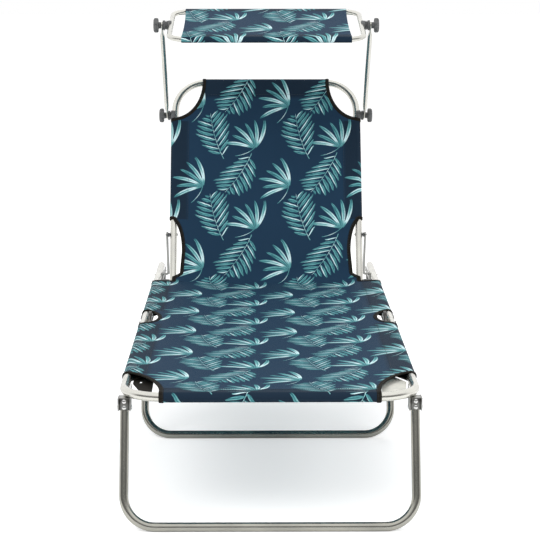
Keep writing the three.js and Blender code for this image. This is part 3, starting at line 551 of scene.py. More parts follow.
FLAT_UP = (0, 0, 1)
foot_end, seat_start, seat_end = HINGE_Y - CLEAR, HINGE_Y + CLEAR, FRONT_Y + SEAT_REAR
foot_line = [(-SIDE_X, foot_end, TUBE_Z), (-SIDE_X, FRONT_Y, TUBE_Z), (SIDE_X, FRONT_Y, TUBE_Z),
             (SIDE_X, foot_end, TUBE_Z)]
fitted(tube("foot_tube", foot_line, FRAME_BEND, TUBE, FLAT_UP, ALUMINIUM), "foot", "frame_tube", "foot_frame")
for side, sign in SIDES:
    rail_line = [(sign * SIDE_X, seat_start, TUBE_Z), (sign * SIDE_X, seat_end, TUBE_Z)]
    fitted(tube(f"seat_rail_{side}", rail_line, 0, TUBE, FLAT_UP, ALUMINIUM), "seat", "frame_tube",
           f"seat_tube_{side}")
back_line = [(-BACK_X, -BACK_TAIL, 0), (-BACK_X, BACK_LENGTH, 0), (BACK_X, BACK_LENGTH, 0),
             (BACK_X, -BACK_TAIL, 0)]
fitted(tube("backrest_tube", back_line, FRAME_BEND, TUBE, FLAT_UP, ALUMINIUM, BACK), "backrest", "frame_tube",
       "backrest_frame")

# A leg's tube is a hair slimmer than the frame's and stands a little over its pin
LEG_TUBE, LEG_OVER = 0.0088, 0.006
for leg, _, pivot_y, reach in LEGS:
    length, lean = math.hypot(reach, LEG_DROP), math.atan2(reach, LEG_DROP)
    place = Matrix.Translation((0, FRONT_Y + pivot_y, LEG_PIVOT_Z)) @ Matrix.Rotation(lean, 4, "X")
    leg_line = [(-LEG_X, 0, LEG_OVER), (-LEG_X, 0, -length), (LEG_X, 0, -length), (LEG_X, 0, LEG_OVER)]
    # The legs take the darker metal, painted shade for where they stand under the lounger
    fitted(tube(f"{leg}_leg_tube", leg_line, LEG_BEND, LEG_TUBE, (0, 1, 0), SHADED_LEG_METAL, place), f"{leg}_leg",
           "frame_tube", f"{leg}_leg")
loop_line = [(CLEAR, CANOPY_HALF, 0), (CANOPY_X, CANOPY_HALF, 0), (CANOPY_X, -CANOPY_HALF, 0),
             (-CANOPY_X, -CANOPY_HALF, 0), (-CANOPY_X, CANOPY_HALF, 0), (-CLEAR, CANOPY_HALF, 0)]
fitted(tube("canopy_loop", loop_line, CANOPY_BEND, CANOPY_TUBE, FLAT_UP, ALUMINIUM, CANOPY, 24), "canopy",
       "frame_tube", "canopy_frame")

ARM_TUBE, ARM_FLAT, ARM_EYE = 0.006, 0.002, 0.009
ARM_FLAT_LENGTH, ARM_TAPER = 0.015, 0.028


def arm(side, sign):
    """A slim tube with both ends pressed flat and rounded."""
    sides = 28
    stations = [(-ARM_EYE * math.cos(t), ARM_FLAT, ARM_EYE * math.sin(t), 1.0)
                for t in (math.pi / 2 * k / 6 for k in range(1, 7))]
    stations.append((ARM_FLAT_LENGTH, ARM_FLAT, ARM_EYE, 1.0))
    for k in range(1, 9):
        share = k / 8
        ease = share * share * (3 - 2 * share)
        stations.append((ARM_FLAT_LENGTH + ARM_TAPER * share, ARM_FLAT + (ARM_TUBE - ARM_FLAT) * ease,
                         ARM_EYE - (ARM_EYE - ARM_TUBE) * ease, 1.0 - ease))
    stations += [(ARM_LENGTH - y, thick, wide, flat) for y, thick, wide, flat in reversed(stations)]
    rings = []
    for y, thick, wide, flat in stations:
        power = 1 / (1 + 1.6 * flat)
        ring = []
        for k in range(sides):
            t = 2 * math.pi * k / sides
            c, s = math.cos(t), math.sin(t)
            ring.append((sign * ARM_X + math.copysign(abs(c) ** power, c) * thick, y,
                         math.copysign(abs(s) ** (1 - 0.35 * flat), s) * wide))
        rings.append(ring)
    made = outward(skin(f"arm_{side}", rings, ALUMINIUM, ARMS))
    fitted(made, "canopy_arms", "frame_tube", f"canopy_arm_{side}")


for side, sign in SIDES:
    arm(side, sign)


# Sling: one long strip of cloth laid out flat as (across, along) and carried over the tubes

# The radius of the cloth's middle on a tube, its thickness, its flaps' width, how far a flap lies below the
# cloth it's sewn to, and how deep the cloth sags and over what distance from its ends
CLOTH_R = 0.0096
THICK = 0.0012
FLAP = 0.039
LAYER = 0.0017
FLAP_SLOPE = (2 * CLOTH_R - LAYER) / FLAP
SAG = 0.011
SAG_RUN = 0.15
WRAP = math.pi * CLOTH_R

# The turn from the seat up the backrest: its radius, where it starts and ends on the cloth, and where the
# backrest's own length starts on the cloth
TURN = 0.058
PLANE = CLOTH_R * math.tan(RECLINE / 2)
TURN_FROM = PIVOT_Y - PLANE - TURN * math.tan(RECLINE / 2)
TURN_END = TURN_FROM + TURN * RECLINE
T_TO_V = TURN_END - PLANE - TURN * math.tan(RECLINE / 2)
TOP_V = T_TO_V + BACK_LENGTH
SPLIT_V = 1.035

# Cut-outs at the front corners, the fold, the neck and the head
FRAME_EDGE = SIDE_X + TUBE
BACK_EDGE = BACK_X + TUBE
FRONT_CUT, FRONT_CUT_LENGTH = 0.08, 0.168
FOLD_CUT, FOLD_CUT_REACH = 0.04, 0.075
NECK_V = 1.221
NECK_END = 1.257
NECK_HALF, NECK_CUT = 0.222, 0.032
NECK_FROM, NECK_TO = 0.08, 0.168
HEAD_CUT, HEAD_CUT_LENGTH = 0.089, 0.112
HEAD_SLEEVE = 0.113
SPREAD_FROM, SPREAD_RUN = 1.19, 0.11


def spine(v):
    """The sling's line over the tubes: its point in Y and Z and its outward normal."""
    if v < -WRAP:
        back = -v - WRAP
        return Vector((0, back, -CLOTH_R + FLAP_SLOPE * back)), Vector((0, 0, -1))
    if v < 0:
        t = v / CLOTH_R
        normal = Vector((0, math.sin(t), math.cos(t)))
        return normal * CLOTH_R, normal
    if v <= TURN_FROM:
        return Vector((0, v, CLOTH_R)), Vector((0, 0, 1))
    if v <= TURN_END:
        t = (v - TURN_FROM) / TURN
        point = Vector((0, TURN_FROM + TURN * math.sin(t), CLOTH_R + TURN * (1 - math.cos(t))))
        return point, Vector((0, -math.sin(t), math.cos(t)))
    up = Vector((0, math.cos(RECLINE), math.sin(RECLINE)))
    out = Vector((0, -math.sin(RECLINE), math.cos(RECLINE)))
    hinge = Vector((0, PIVOT_Y, 0))
    if v <= TOP_V:
        return hinge + up * (v - T_TO_V) + out * CLOTH_R, out
    over = v - TOP_V
    if over <= WRAP:
        a = over / CLOTH_R
        normal = up * math.sin(a) + out * math.cos(a)
        return hinge + up * BACK_LENGTH + normal * CLOTH_R, normal
    back = over - WRAP
    return hinge + up * (BACK_LENGTH - back) + out * (-CLOTH_R + FLAP_SLOPE * back), -out


def sag_at(v):
    near = min(max(0.0, v), max(0.0, TOP_V - v)) / SAG_RUN
    return SAG * math.sin(math.pi / 2 * min(1.0, near))


def side_at(v):
    return SIDE_X if v < NECK_V else BACK_X


def span_at(v):
    """The half-width that the sag is shared over, easing from the seat's tubes to the backrest's."""
    share = min(1.0, max(0.0, (v - SPREAD_FROM) / SPREAD_RUN))
    return SIDE_X + (BACK_X - SIDE_X) * share * share * (3 - 2 * share)


def sag_here(u, v):
    return sag_at(v) * max(0.0, 1 - (u / span_at(v)) ** 2)


def flap_gap(u, v):
    """How far an end flap gives way to the sagging cloth it's sewn to."""
    if v < -WRAP:
        return sag_here(u, -v - WRAP) * (-v - WRAP) / FLAP
    if v > TOP_V + WRAP:
        back = v - TOP_V - WRAP
        return sag_here(u, TOP_V - back) * back / FLAP
    return 0.0


def on_cloth(u, v):
    """The sling's point for a place on the flat cloth."""
    point, normal = spine(v)
    side = side_at(v)
    over = abs(u) - side
    sign = math.copysign(1.0, u)
    base = Vector((0, FRONT_Y, TUBE_Z)) + point
    if over <= 0:
        return base + Vector((u, 0, 0)) + normal * (flap_gap(u, v) - sag_here(u, v))
    if over <= WRAP:
        a = over / CLOTH_R
        aside = Vector((sign * (side + CLOTH_R * math.sin(a)), 0, 0))
        return base + aside - normal * CLOTH_R * (1 - math.cos(a))
    back = over - WRAP
    inner = side - back
    meets = sag_here(inner, v) + LAYER
    depth = 2 * CLOTH_R + (meets - 2 * CLOTH_R) * back / FLAP
    return base + Vector((sign * inner, 0, 0)) - normal * depth


def cut(full, depth, distance, reach):
    """Half a width less the depth of a cut-out with an elliptical edge."""
    share = min(1.0, abs(distance) / reach)
    return full - depth * math.sqrt(1 - share * share)


def half_at(v):
    """Half the width of the cloth between its cut-outs."""
    if v < 0:
        return FRAME_EDGE - FRONT_CUT
    if v < SPLIT_V:
        return min(cut(FRAME_EDGE, FRONT_CUT, v, FRONT_CUT_LENGTH),
                   cut(FRAME_EDGE, FOLD_CUT, v - FOLD, FOLD_CUT_REACH))
    if v < NECK_V:
        return SIDE_X
    if v < NECK_END:
        return NECK_HALF + (SIDE_X - NECK_HALF) * (1 - (v - NECK_V) / (NECK_END - NECK_V)) ** 1.3
    t = v - T_TO_V
    if t < NECK_FROM:
        lower = NECK_HALF - (NECK_HALF - BACK_EDGE + NECK_CUT) * max(0.0, t) / NECK_FROM
    else:
        lower = cut(BACK_EDGE, NECK_CUT, t - NECK_FROM, NECK_TO - NECK_FROM)
    if t < BACK_LENGTH:
        return min(lower, cut(BACK_EDGE, HEAD_CUT, BACK_LENGTH - t, HEAD_CUT_LENGTH))
    return min(lower, BACK_EDGE - HEAD_CUT)


SEAT_SLEEVES = ((FRONT_CUT_LENGTH, FOLD - FOLD_CUT_REACH), (FOLD + FOLD_CUT_REACH, NECK_V))
BACK_SLEEVE = (T_TO_V + NECK_TO, TOP_V - HEAD_SLEEVE)


def between(low, high, gap):
    count = max(1, math.ceil((high - low) / gap - 1e-9))
    return [low + (high - low) * k / count for k in range(count + 1)]


def cloth_rows(low, high, stops, gap=0.011):
    """Rows from low to high that meet every stop, closer together near cut-outs."""
    marks = sorted({low, high, *(s for s in stops if low < s < high)})
    rows = []
    for a, b in zip(marks, marks[1:]):
        rows += between(a, b, gap)[:-1]
    return rows + [high]


def ellipse_stops(start, end, count=14):
    """Rows that follow a cut-out's quarter of an ellipse evenly."""
    return [start + (end - start) * math.sin(math.pi / 2 * k / count) for k in range(count + 1)]


STOPS = sorted({
    *(-WRAP * k / 12 for k in range(13)), *ellipse_stops(0.0, FRONT_CUT_LENGTH),
    *ellipse_stops(FOLD, FOLD - FOLD_CUT_REACH), *ellipse_stops(FOLD, FOLD + FOLD_CUT_REACH),
    *(NECK_V + (NECK_END - NECK_V) * (k / 6) ** 1.5 for k in range(7)),
    *(TURN_FROM + TURN * RECLINE * k / 16 for k in range(17)),
    *ellipse_stops(T_TO_V + NECK_FROM, T_TO_V + NECK_TO), *ellipse_stops(TOP_V, TOP_V - HEAD_CUT_LENGTH),
    BACK_SLEEVE[1], *(TOP_V + WRAP * k / 12 for k in range(13)),
})


def doubled_layer(made, doubled, thick):
    """Marks where the cloth lies double, and gives it its thickness."""
    made.data.attributes.new("double", "FLOAT", "POINT").data.foreach_set("value", doubled)
    solid = made.modifiers.new("thickness", "SOLIDIFY")
    solid.thickness, solid.offset = thick, 0.0
    return applied(made)


def sling(name, low, high, sleeves):
    """A length of the sling with its sleeves, thickened."""
    points, faces, corners, doubled, index = [], [], [], [], {}

    def corner(u, v, double):
        key = (round(u, 6), round(v, 6))
        if key not in index:
            index[key] = len(points)
            points.append(on_cloth(u, v))
            doubled.append(double)
        return index[key]

    def patch(rows, columns, wide):
        for v0, v1 in zip(rows, rows[1:]):
            for a, b in zip(columns, columns[1:]):
                spots = [wide(c, v) for c, v in ((a, v0), (b, v0), (b, v1), (a, v1))]
                faces.append(tuple(corner(u, v, is_double(u, v)) for u, v in spots))
                corners.append(tuple(spots))

    def is_double(u, v):
        side = side_at(v)
        over = any(a - NEAR <= v <= b + NEAR for a, b in sleeves)
        edge = 1.0 if over and abs(u) >= side - FLAP - NEAR else 0.0
        return 1.0 if v > TOP_V - FLAP - NEAR or v < FLAP + NEAR else edge

    rows = cloth_rows(low, high, [*STOPS, FLAP, TOP_V - FLAP, *(s for pair in sleeves for s in pair)])
    main = [k / 24 - 1 for k in range(49)]

    def spread(share, v):
        half = min(half_at(v), side_at(v))
        return half * share, v

    patch(rows, main, spread)
    wrap = [WRAP * k / 14 for k in range(15)] + [WRAP + FLAP * k / 4 for k in range(1, 5)]
    for start, end in sleeves:
        span = [v for v in rows if start - NEAR <= v <= end + NEAR]
        patch(span, wrap, lambda over, v: (side_at(v) + over, v))
        patch(span, [-w for w in reversed(wrap)], lambda over, v: (-side_at(v) + over, v))
    area = 0.0
    for spots in corners:
        area += abs(sum(spots[k - 1][0] * spots[k][1] - spots[k][0] * spots[k - 1][1] for k in range(4))) / 2
    made = doubled_layer(build(name, points, faces, CLOTH, corners), doubled, THICK)
    return made, area


front_sleeves = [(a, min(b, SPLIT_V)) for a, b in SEAT_SLEEVES]
front, front_area = sling("front_sling", -WRAP - FLAP, SPLIT_V, front_sleeves)
rear, rear_area = sling("rear_sling", SPLIT_V, TOP_V + WRAP + FLAP, [(SPLIT_V, NECK_V), BACK_SLEEVE])
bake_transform(front)
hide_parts("foot_sling")
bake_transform(rear)
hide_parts("seat_sling", "back_sling")
TOP_V + WRAP + FLAP - SPLIT_V


# Binding tape on the cut-outs, and the seams' stitches


def cloth_normal(u, v):
    near = THICK / 2
    across = on_cloth(u + near, v) - on_cloth(u - near, v)
    along = on_cloth(u, v + near) - on_cloth(u, v - near)
    return across.cross(along).normalized()


def spread_evenly(line, gap):
    """The same line with its points about gap apart."""
    points = [Vector(p) for p in line]
    runs = [0.0]
    for a, b in zip(points, points[1:]):
        runs.append(runs[-1] + (b - a).length)
    count = max(2, round(runs[-1] / gap))
    out, k = [], 0
    for n in range(count + 1):
        wanted = runs[-1] * n / count
        while k < len(points) - 2 and runs[k + 1] < wanted:
            k += 1
        length = runs[k + 1] - runs[k]
        out.append(points[k].lerp(points[k + 1], 0.0 if length == 0 else (wanted - runs[k]) / length))
    return out


def edge_run(low, high, count=60):
    """The cloth's edge in flat places, from one row to another."""
    rows = [low + (high - low) * k / count for k in range(count + 1)]
    rows += [v for v in STOPS if min(low, high) < v < max(low, high)]
    rows.sort(reverse=high < low)
    return [(min(half_at(v), side_at(v)), v) for v in rows]


def inward_of(line, turn):
    """For each point of a flat line, the direction square to it, on the side that turn gives."""
    out = []
    for k, spot in enumerate(line):
        way = (line[min(k + 1, len(line) - 1)] - line[max(k - 1, 0)]).normalized()
        out.append(Vector((-way.y, way.x)) * turn)
    return out


# The tape's section: in from the cloth's edge, and up from its middle
TAPE_SECTION = ((-0.0013, 0.0), (-0.0008, 0.0013), (0.0012, 0.0019), (0.0068, 0.0018), (0.0079, 0.0013),
                (0.0083, 0.0), (0.0079, -0.0013), (0.0068, -0.0018), (0.0012, -0.0019), (-0.0008, -0.0013))
TAPE_PITCH = 0.0035


def tape(name, line, turn):
    """Folded tape along a line of flat places on the right-hand side, and its mirror image."""
    line = spread_evenly(line, TAPE_PITCH)
    inward = inward_of(line, turn)
    rings = []
    for spot, into in zip(line, inward):
        normal = cloth_normal(spot.x, spot.y)
        rings.append([on_cloth(*(spot + into * w)) + normal * n for w, n in TAPE_SECTION])
    for side, sign in SIDES:
        flipped = Matrix.Diagonal((sign, 1, 1, 1))
        yield outward(skin(f"{name}_{side}", rings, TAPE, flipped))


SEAT_END_U = SIDE_X + WRAP + FLAP
BACK_END_U = BACK_X + WRAP + FLAP

# The neck's tape runs this far in front of the cloth's own edge where that lies across
SHY = 0.0025
FOLD_FROM, FOLD_TO = SEAT_SLEEVES[0][1], SEAT_SLEEVES[1][0]
NECK_TOP, HEAD_FROM = T_TO_V + NECK_TO, TOP_V - HEAD_CUT_LENGTH
FRONT_EDGE = [(SEAT_END_U, FRONT_CUT_LENGTH), *edge_run(FRONT_CUT_LENGTH, -WRAP - FLAP)]
FOLD_EDGE = [(SEAT_END_U, FOLD_FROM), *edge_run(FOLD_FROM, FOLD_TO), (SEAT_END_U, FOLD_TO)]
NECK_EDGE = [(SEAT_END_U, NECK_V - SHY), (SIDE_X, NECK_V - SHY), *edge_run(NECK_V, NECK_TOP - STEP),
             (BACK_END_U, NECK_TOP)]
HEAD_EDGE = [(BACK_END_U, HEAD_FROM), *edge_run(HEAD_FROM, TOP_V + WRAP + FLAP)]


def dressed(made, body=None):
    """Puts tape or stitches on the body they're sewn to, or else leaves them where they lie, with their place
    baked into their mesh.
    """
    if body:
        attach(made, body)
    else:
        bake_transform(made)


for made in tape("front_tape", FRONT_EDGE, -1):
    dressed(made, "foot")
for made in tape("fold_tape", FOLD_EDGE, 1):
    dressed(made)
for made in tape("neck_tape", NECK_EDGE, 1):
    dressed(made)
for made in tape("head_tape", HEAD_EDGE, -1):
    dressed(made, "backrest")


THREAD = plastic("thread", rgb(0.02, 0.03, 0.05), rgb(0.035, 0.045, 0.07), 0.7)


def stitch_nodes():
    """Turns a line into a row of sewn stitches."""
    tree = bpy.data.node_groups.new("stitches", "GeometryNodeTree")
    tree.interface.new_socket("Geometry", in_out="INPUT", socket_type="NodeSocketGeometry")
    pitch = tree.interface.new_socket("Pitch", in_out="INPUT", socket_type="NodeSocketFloat")
    thread = tree.interface.new_socket("Thread radius", in_out="INPUT", socket_type="NodeSocketFloat")
    pitch.default_value, thread.default_value = 0.0042, 0.0005
    tree.interface.new_socket("Geometry", in_out="OUTPUT", socket_type="NodeSocketGeometry")
    start, end = tree.nodes.new("NodeGroupInput"), tree.nodes.new("NodeGroupOutput")
    curve = node(tree, "GeometryNodeMeshToCurve", {"Mesh": start.outputs[0]})
    even = node(tree, "GeometryNodeResampleCurve",
                {"Curve": curve.outputs[0], "Length": start.outputs["Pitch"]}, mode="LENGTH")
    bead = node(tree, "GeometryNodeMeshUVSphere",
                {"Segments": 6, "Rings": 4, "Radius": start.outputs["Thread radius"]})
    way = node(tree, "FunctionNodeAlignRotationToVector",
               {"Vector": node(tree, "GeometryNodeInputTangent").outputs[0]}, axis="Z")
    placed = node(tree, "GeometryNodeInstanceOnPoints",
                  {"Points": even.outputs[0], "Instance": bead.outputs[0], "Rotation": way.outputs[0],
                   "Scale": (0.8, 0.8, 2.9)})
    real = node(tree, "GeometryNodeRealizeInstances", {"Geometry": placed.outputs[0]})
    finish = node(tree, "GeometryNodeSetMaterial", {"Geometry": real.outputs[0], "Material": THREAD})
    tree.links.new(finish.outputs[0], end.inputs[0])
    return tree


STITCHES = stitch_nodes()


def sew(name, lines):
    """Stitches along lines of points."""
    points, edges = [], []
    for line in lines:
        at = len(points)
        points += line
        edges += [(at + k, at + k + 1) for k in range(len(line) - 1)]
    mesh = bpy.data.meshes.new(name)
    mesh.from_pydata([tuple(p) for p in points], edges, [])
    made = bpy.data.objects.new(name, mesh)
    bpy.context.scene.collection.objects.link(made)
    made.modifiers.new("stitches", "NODES").node_group = STITCHES
    applied(made)
    made.data.shade_smooth()
    return made


def seam(ends, lift=0.0011):
    """Points just over the cloth between two flat places."""
    (u0, v0), (u1, v1) = ends
    spots = spread_evenly([(u0, v0, 0), (u1, v1, 0)], 0.006)
    return [on_cloth(p.x, p.y) + cloth_normal(p.x, p.y) * lift for p in spots]


def tape_seam(line, turn, inset=0.0062, lift=0.0021):
    """Points just over the tape, in from the cloth's edge."""
    line = spread_evenly(line, 0.004)
    out = []
    for spot, into in zip(line, inward_of(line, turn)):
        at = spot + into * inset
        out.append(on_cloth(*at) + cloth_normal(spot.x, spot.y) * lift)
    return out


def both(lines):
    """The lines and their mirror images on the other side."""
    return [*lines, *([Vector((-p.x, p.y, p.z)) for p in line] for line in lines)]


# Seams run inside the flaps' edges and over the sleeves' ends by the same margin
SEAM_OVER = 0.003
SEAM_IN = FLAP - SEAM_OVER
SEAT_SEAM_X, BACK_SEAM_X = SIDE_X - SEAM_IN, BACK_X - SEAM_IN
FRONT_SEAM_X, HEAD_SEAM_X = 0.205, 0.16


def side_seam(x, start, end):
    return seam([(x, start), (x, end)])


front_lines = both([side_seam(SEAT_SEAM_X, FRONT_CUT_LENGTH - SEAM_OVER, FOLD_FROM + SEAM_OVER),
                    tape_seam(FRONT_EDGE, -1)])
front_lines.append(seam([(-FRONT_SEAM_X, SEAM_IN), (FRONT_SEAM_X, SEAM_IN)]))
fold_lines = both([side_seam(SEAT_SEAM_X, FOLD_TO - SEAM_OVER, SPLIT_V), tape_seam(FOLD_EDGE, 1)])
neck_lines = both([side_seam(SEAT_SEAM_X, SPLIT_V, NECK_V), tape_seam(NECK_EDGE, 1)])
back_lines = both([side_seam(BACK_SEAM_X, BACK_SLEEVE[0] - SEAM_OVER, BACK_SLEEVE[1] + SEAM_OVER),
                   tape_seam(HEAD_EDGE, -1)])
back_lines.append(seam([(-HEAD_SEAM_X, TOP_V - SEAM_IN), (HEAD_SEAM_X, TOP_V - SEAM_IN)]))
dressed(sew("front_seams", front_lines), "foot")
dressed(sew("fold_seams", fold_lines))
dressed(sew("neck_seams", neck_lines))
dressed(sew("back_seams", back_lines), "backrest")


# Canopy cloth, with a hem round each cross bar

CANOPY_THICK = 0.001
CANOPY_R = CANOPY_TUBE + 0.0007
CANOPY_WRAP = math.pi * CANOPY_R
CANOPY_FLAP = 0.016
CANOPY_CLOTH_X = 0.206
CANOPY_END = CANOPY_HALF + CANOPY_WRAP + CANOPY_FLAP
CANOPY_WAIST = 0.0025
CANOPY_SINK = 0.004

# Where the canopy's cloth lies on the printed roll
PRINT_PLACE = (0.05, 2.02)


def sink_at(v, u):
    """How far the canopy's cloth sinks between its bars, less towards its sides."""
    share = min(1.0, abs(v) / CANOPY_HALF)
    return CANOPY_SINK * (1 - share * share) * (1 - 0.35 * min(1.0, abs(u) / 0.2) ** 2)


def on_canopy(u, v):
    """The canopy cloth's point for a place on the flat cloth."""
    over = abs(v) - CANOPY_HALF
    sign = math.copysign(1.0, v)
    if over <= 0:
        return Vector((u, v, CANOPY_R - sink_at(v, u)))
    if over <= CANOPY_WRAP:
        a = over / CANOPY_R
        return Vector((u, sign * (CANOPY_HALF + CANOPY_R * math.sin(a)), CANOPY_R * math.cos(a)))
    back = over - CANOPY_WRAP
    depth = CANOPY_R - (2 * CANOPY_R - LAYER - sink_at(CANOPY_HALF - back, u)) * back / CANOPY_FLAP
    return Vector((u, sign * (CANOPY_HALF - back), -depth))


def canopy_cloth():
    """The canopy's cloth, hemmed round the front and rear bars and a little narrower between them."""
    hem = CANOPY_HALF - CANOPY_FLAP
    half_rows = between(0, hem, 0.014) + between(hem, CANOPY_HALF, 0.008)[1:]
    half_rows += [CANOPY_HALF + CANOPY_WRAP * k / 12 for k in range(1, 13)]
    half_rows += between(CANOPY_HALF + CANOPY_WRAP, CANOPY_END, 0.006)[1:]
    rows = [-v for v in reversed(half_rows[1:])] + half_rows
    shares = [k / 24 - 1 for k in range(49)]
    points, faces, corners, doubled = [], [], [], []
    for v in rows:
        share = min(1.0, abs(v) / CANOPY_HALF)
        wide = CANOPY_CLOTH_X - CANOPY_WAIST * (1 - share * share)
        for part in shares:
            points.append(CANOPY @ on_canopy(part * wide, v))
            doubled.append(1.0 if abs(v) > hem - NEAR else 0.0)
    count = len(shares)
    for r in range(len(rows) - 1):
        for k in range(count - 1):
            ring = (r * count + k, r * count + k + 1, (r + 1) * count + k + 1, (r + 1) * count + k)
            faces.append(ring)
            spots = ((CANOPY_CLOTH_X * shares[i % count], rows[i // count]) for i in ring)
            corners.append(tuple((u + PRINT_PLACE[0], v + PRINT_PLACE[1]) for u, v in spots))
    made = doubled_layer(build("canopy_cloth", points, faces, CLOTH, corners), doubled, CANOPY_THICK)
    fitted(made, "canopy", "sling_cloth", "canopy_sheet")


canopy_cloth()


# Knobs and clamps, which lie against the arm's flattened ends

ARM_SEAT = ARM_FLAT + CLEAR


def knob(place, side, sign, which):
    """A moulded hand knob: a boss, a dished grip with scooped flutes and a domed face."""
    face = ARM_SEAT
    screw, boss, grip, tall = 0.0028, 0.008, 0.0185, 0.013
    base = face + 0.0057
    profile = [(screw, face - 0.01), (screw, face), (boss - 0.0006, face), (boss, face + 0.0006),
               (boss, base - 0.001), (boss + 0.0012, base), (grip - 0.004, base + 0.0002),
               (grip - 0.001, base + 0.0012), (grip, base + 0.0034), (grip, base + tall - 0.0045),
               (grip - 0.0008, base + tall - 0.0024), (grip - 0.003, base + tall - 0.0008),
               (grip - 0.007, base + tall - 0.0001), (grip - 0.0085, base + tall - 0.0006),
               (grip - 0.0095, base + tall - 0.0007), (grip - 0.011, base + tall - 0.0001),
               (0.003, base + tall), (0.0004, base + tall)]

    def flutes(t, radius):
        if radius < grip - 0.0045:
            return 1.0
        return 1.0 - 0.13 * max(0.0, math.cos(8 * t)) ** 1.5

    at = place @ Matrix.Translation((sign * ARM_X, 0, 0)) @ Matrix.Diagonal((sign, 1, 1, 1))
    made = turned(f"{which}_grip_{side}", profile, GREY, at, 96, flutes)
    fitted(made, f"{which}_knob_{side}", "grey_plastic", f"{which}_knob_{side}")


for side, sign in SIDES:
    knob(ARMS, side, sign, "lower")
    knob(ARMS @ Matrix.Translation((0, ARM_LENGTH, 0)), side, sign, "upper")


# Clamp saddles that hold the arms to the backrest and the canopy loop


def saddle(name, place, sign, tube_x, tube_radius, radius, body, node_name):
    """A moulded block hollowed to fit a tube, with a ribbed neck and two toothed discs towards the arm."""
    face = ARM_X - ARM_SEAT
    start = tube_x - 0.0015
    disc, pitch = 0.0125, 0.0028
    neck = tube_x + tube_radius
    profile = [(radius * 0.55, start), (radius - 0.0015, start + 0.0002), (radius, start + 0.0015),
               (radius, neck + 0.0012), (radius - 0.0012, neck + 0.0024), (disc - 0.003, neck + 0.0026)]
    for k in range(int((face - 0.0071 - neck) / pitch)):
        rib = neck + pitch * (k + 1)
        profile += [(disc - 0.003, rib), (disc - 0.0006, rib + 0.0003), (disc - 0.0006, rib + 0.0012),
                    (disc - 0.003, rib + 0.0015)]
    profile += [(disc - 0.003, face - 0.0056), (disc - 0.0003, face - 0.0054), (disc, face - 0.005),
                (disc, face - 0.0034), (disc - 0.0004, face - 0.003), (disc - 0.0026, face - 0.0028),
                (disc - 0.0026, face - 0.0024), (disc - 0.0004, face - 0.0022), (disc, face - 0.0018),
                (disc, face - 0.0004), (disc - 0.0004, face), (0.004, face)]

    def teeth(t, r):
        return 1.0 + 0.03 * math.cos(18 * t) if r == disc else 1.0

    made = turned(name, profile, GREY, Matrix(), 72, teeth)
    bore = tube_radius + 0.0002
    groove = turned("groove", [(bore, -0.03), (bore, 0.03)], GREY,
                    Matrix.Translation((tube_x, 0, 0)) @ Matrix.Rotation(math.pi / 2, 4, "Z"), 40)
    hollow = made.modifiers.new("hollow", "BOOLEAN")
    hollow.operation, hollow.object, hollow.solver = "DIFFERENCE", groove, "EXACT"
    applied(made)
    bpy.data.objects.remove(groove)
    made.data.transform(place @ Matrix.Diagonal((sign, 1, 1, 1)))
    fitted(outward(made), body, "grey_plastic", node_name)


for side, sign in SIDES:
    saddle(f"lower_saddle_{side}", ARM_BASE, sign, BACK_X, TUBE, 0.0135, "backrest", f"arm_clamp_{side}")
    saddle(f"upper_saddle_{side}", CANOPY, sign, CANOPY_X, CANOPY_TUBE, 0.0118, "canopy",
           f"canopy_block_{side}")


# Leg brackets: pressed steel channels under the tubes, riveted up into them


def dome(name, radius, height, place, body):
    """A rivet's round head standing on the place's YZ plane towards its +X."""
    profile = [(radius * 0.98, -0.0002), (radius, 0.0001)]
    profile += [(radius * math.cos(t), height * math.sin(t) + 0.0001)
                for t in (math.pi / 2 * k / 7 for k in range(1, 7))]
    profile.append((radius * 0.04, height + 0.0001))
    return fitted(turned(name, profile, CHROME, place, 28), body, "rivets")


def rounded(corners, radius, steps=5):
    """A flat line with its corners rounded."""
    out = [Vector(corners[0])]
    for before, at, after in zip(corners, corners[1:], corners[2:]):
        before, at, after = Vector(before), Vector(at), Vector(after)
        a, b = (at - before).normalized(), (after - at).normalized()
        turn = a.angle(b)
        cut_back = min(radius * math.tan(turn / 2), (at - before).length * 0.49, (after - at).length * 0.49)
        for k in range(steps + 1):
            t = k / steps
            out.append((at - a * cut_back).lerp(at, t).lerp(at.lerp(at + b * cut_back, t), t))
    return [*out, Vector(corners[-1])]


def strip(name, line, thick, low, high, finish, place=Matrix(), edge=0.0005):
    """Sheet metal standing on a line in X and Y, from low to high, with eased edges."""
    left, right = [], []
    for k, at in enumerate(line):
        way = (line[min(k + 1, len(line) - 1)] - line[max(k - 1, 0)]).normalized()
        off = Vector((-way.y, way.x)) * thick / 2
        left.append(at + off)
        right.append(at - off)
    rings = []
    for inset, z in ((edge, low), (0.0, low + edge), (0.0, high - edge), (edge, high)):
        ring = []
        for outer, inner in ((left, right), (list(reversed(right)), list(reversed(left)))):
            for a, b in zip(outer, inner):
                ring.append((*(a.lerp(b, inset / thick)), z))
        rings.append(ring)
    return outward(skin(name, rings, finish, place))


# A bracket's sheet, its half-width, how far its mouth and lip stand off, its height, and its rivets' heights
SHEET_T = 0.002
BRACKET_HALF = 0.0123
MOUTH, LIP = 0.013, 0.0028
BRACKET_LOW, BRACKET_TOP = 0.2195, TUBE_Z - TUBE - CLEAR
RIVET_ZS = (0.2262, 0.2377)

# The front brackets' rivets go up into the tube's corner bends, the others into the straight tubes
RIVET_X = {"front": 0.2731, "middle": SIDE_X, "rear": SIDE_X}


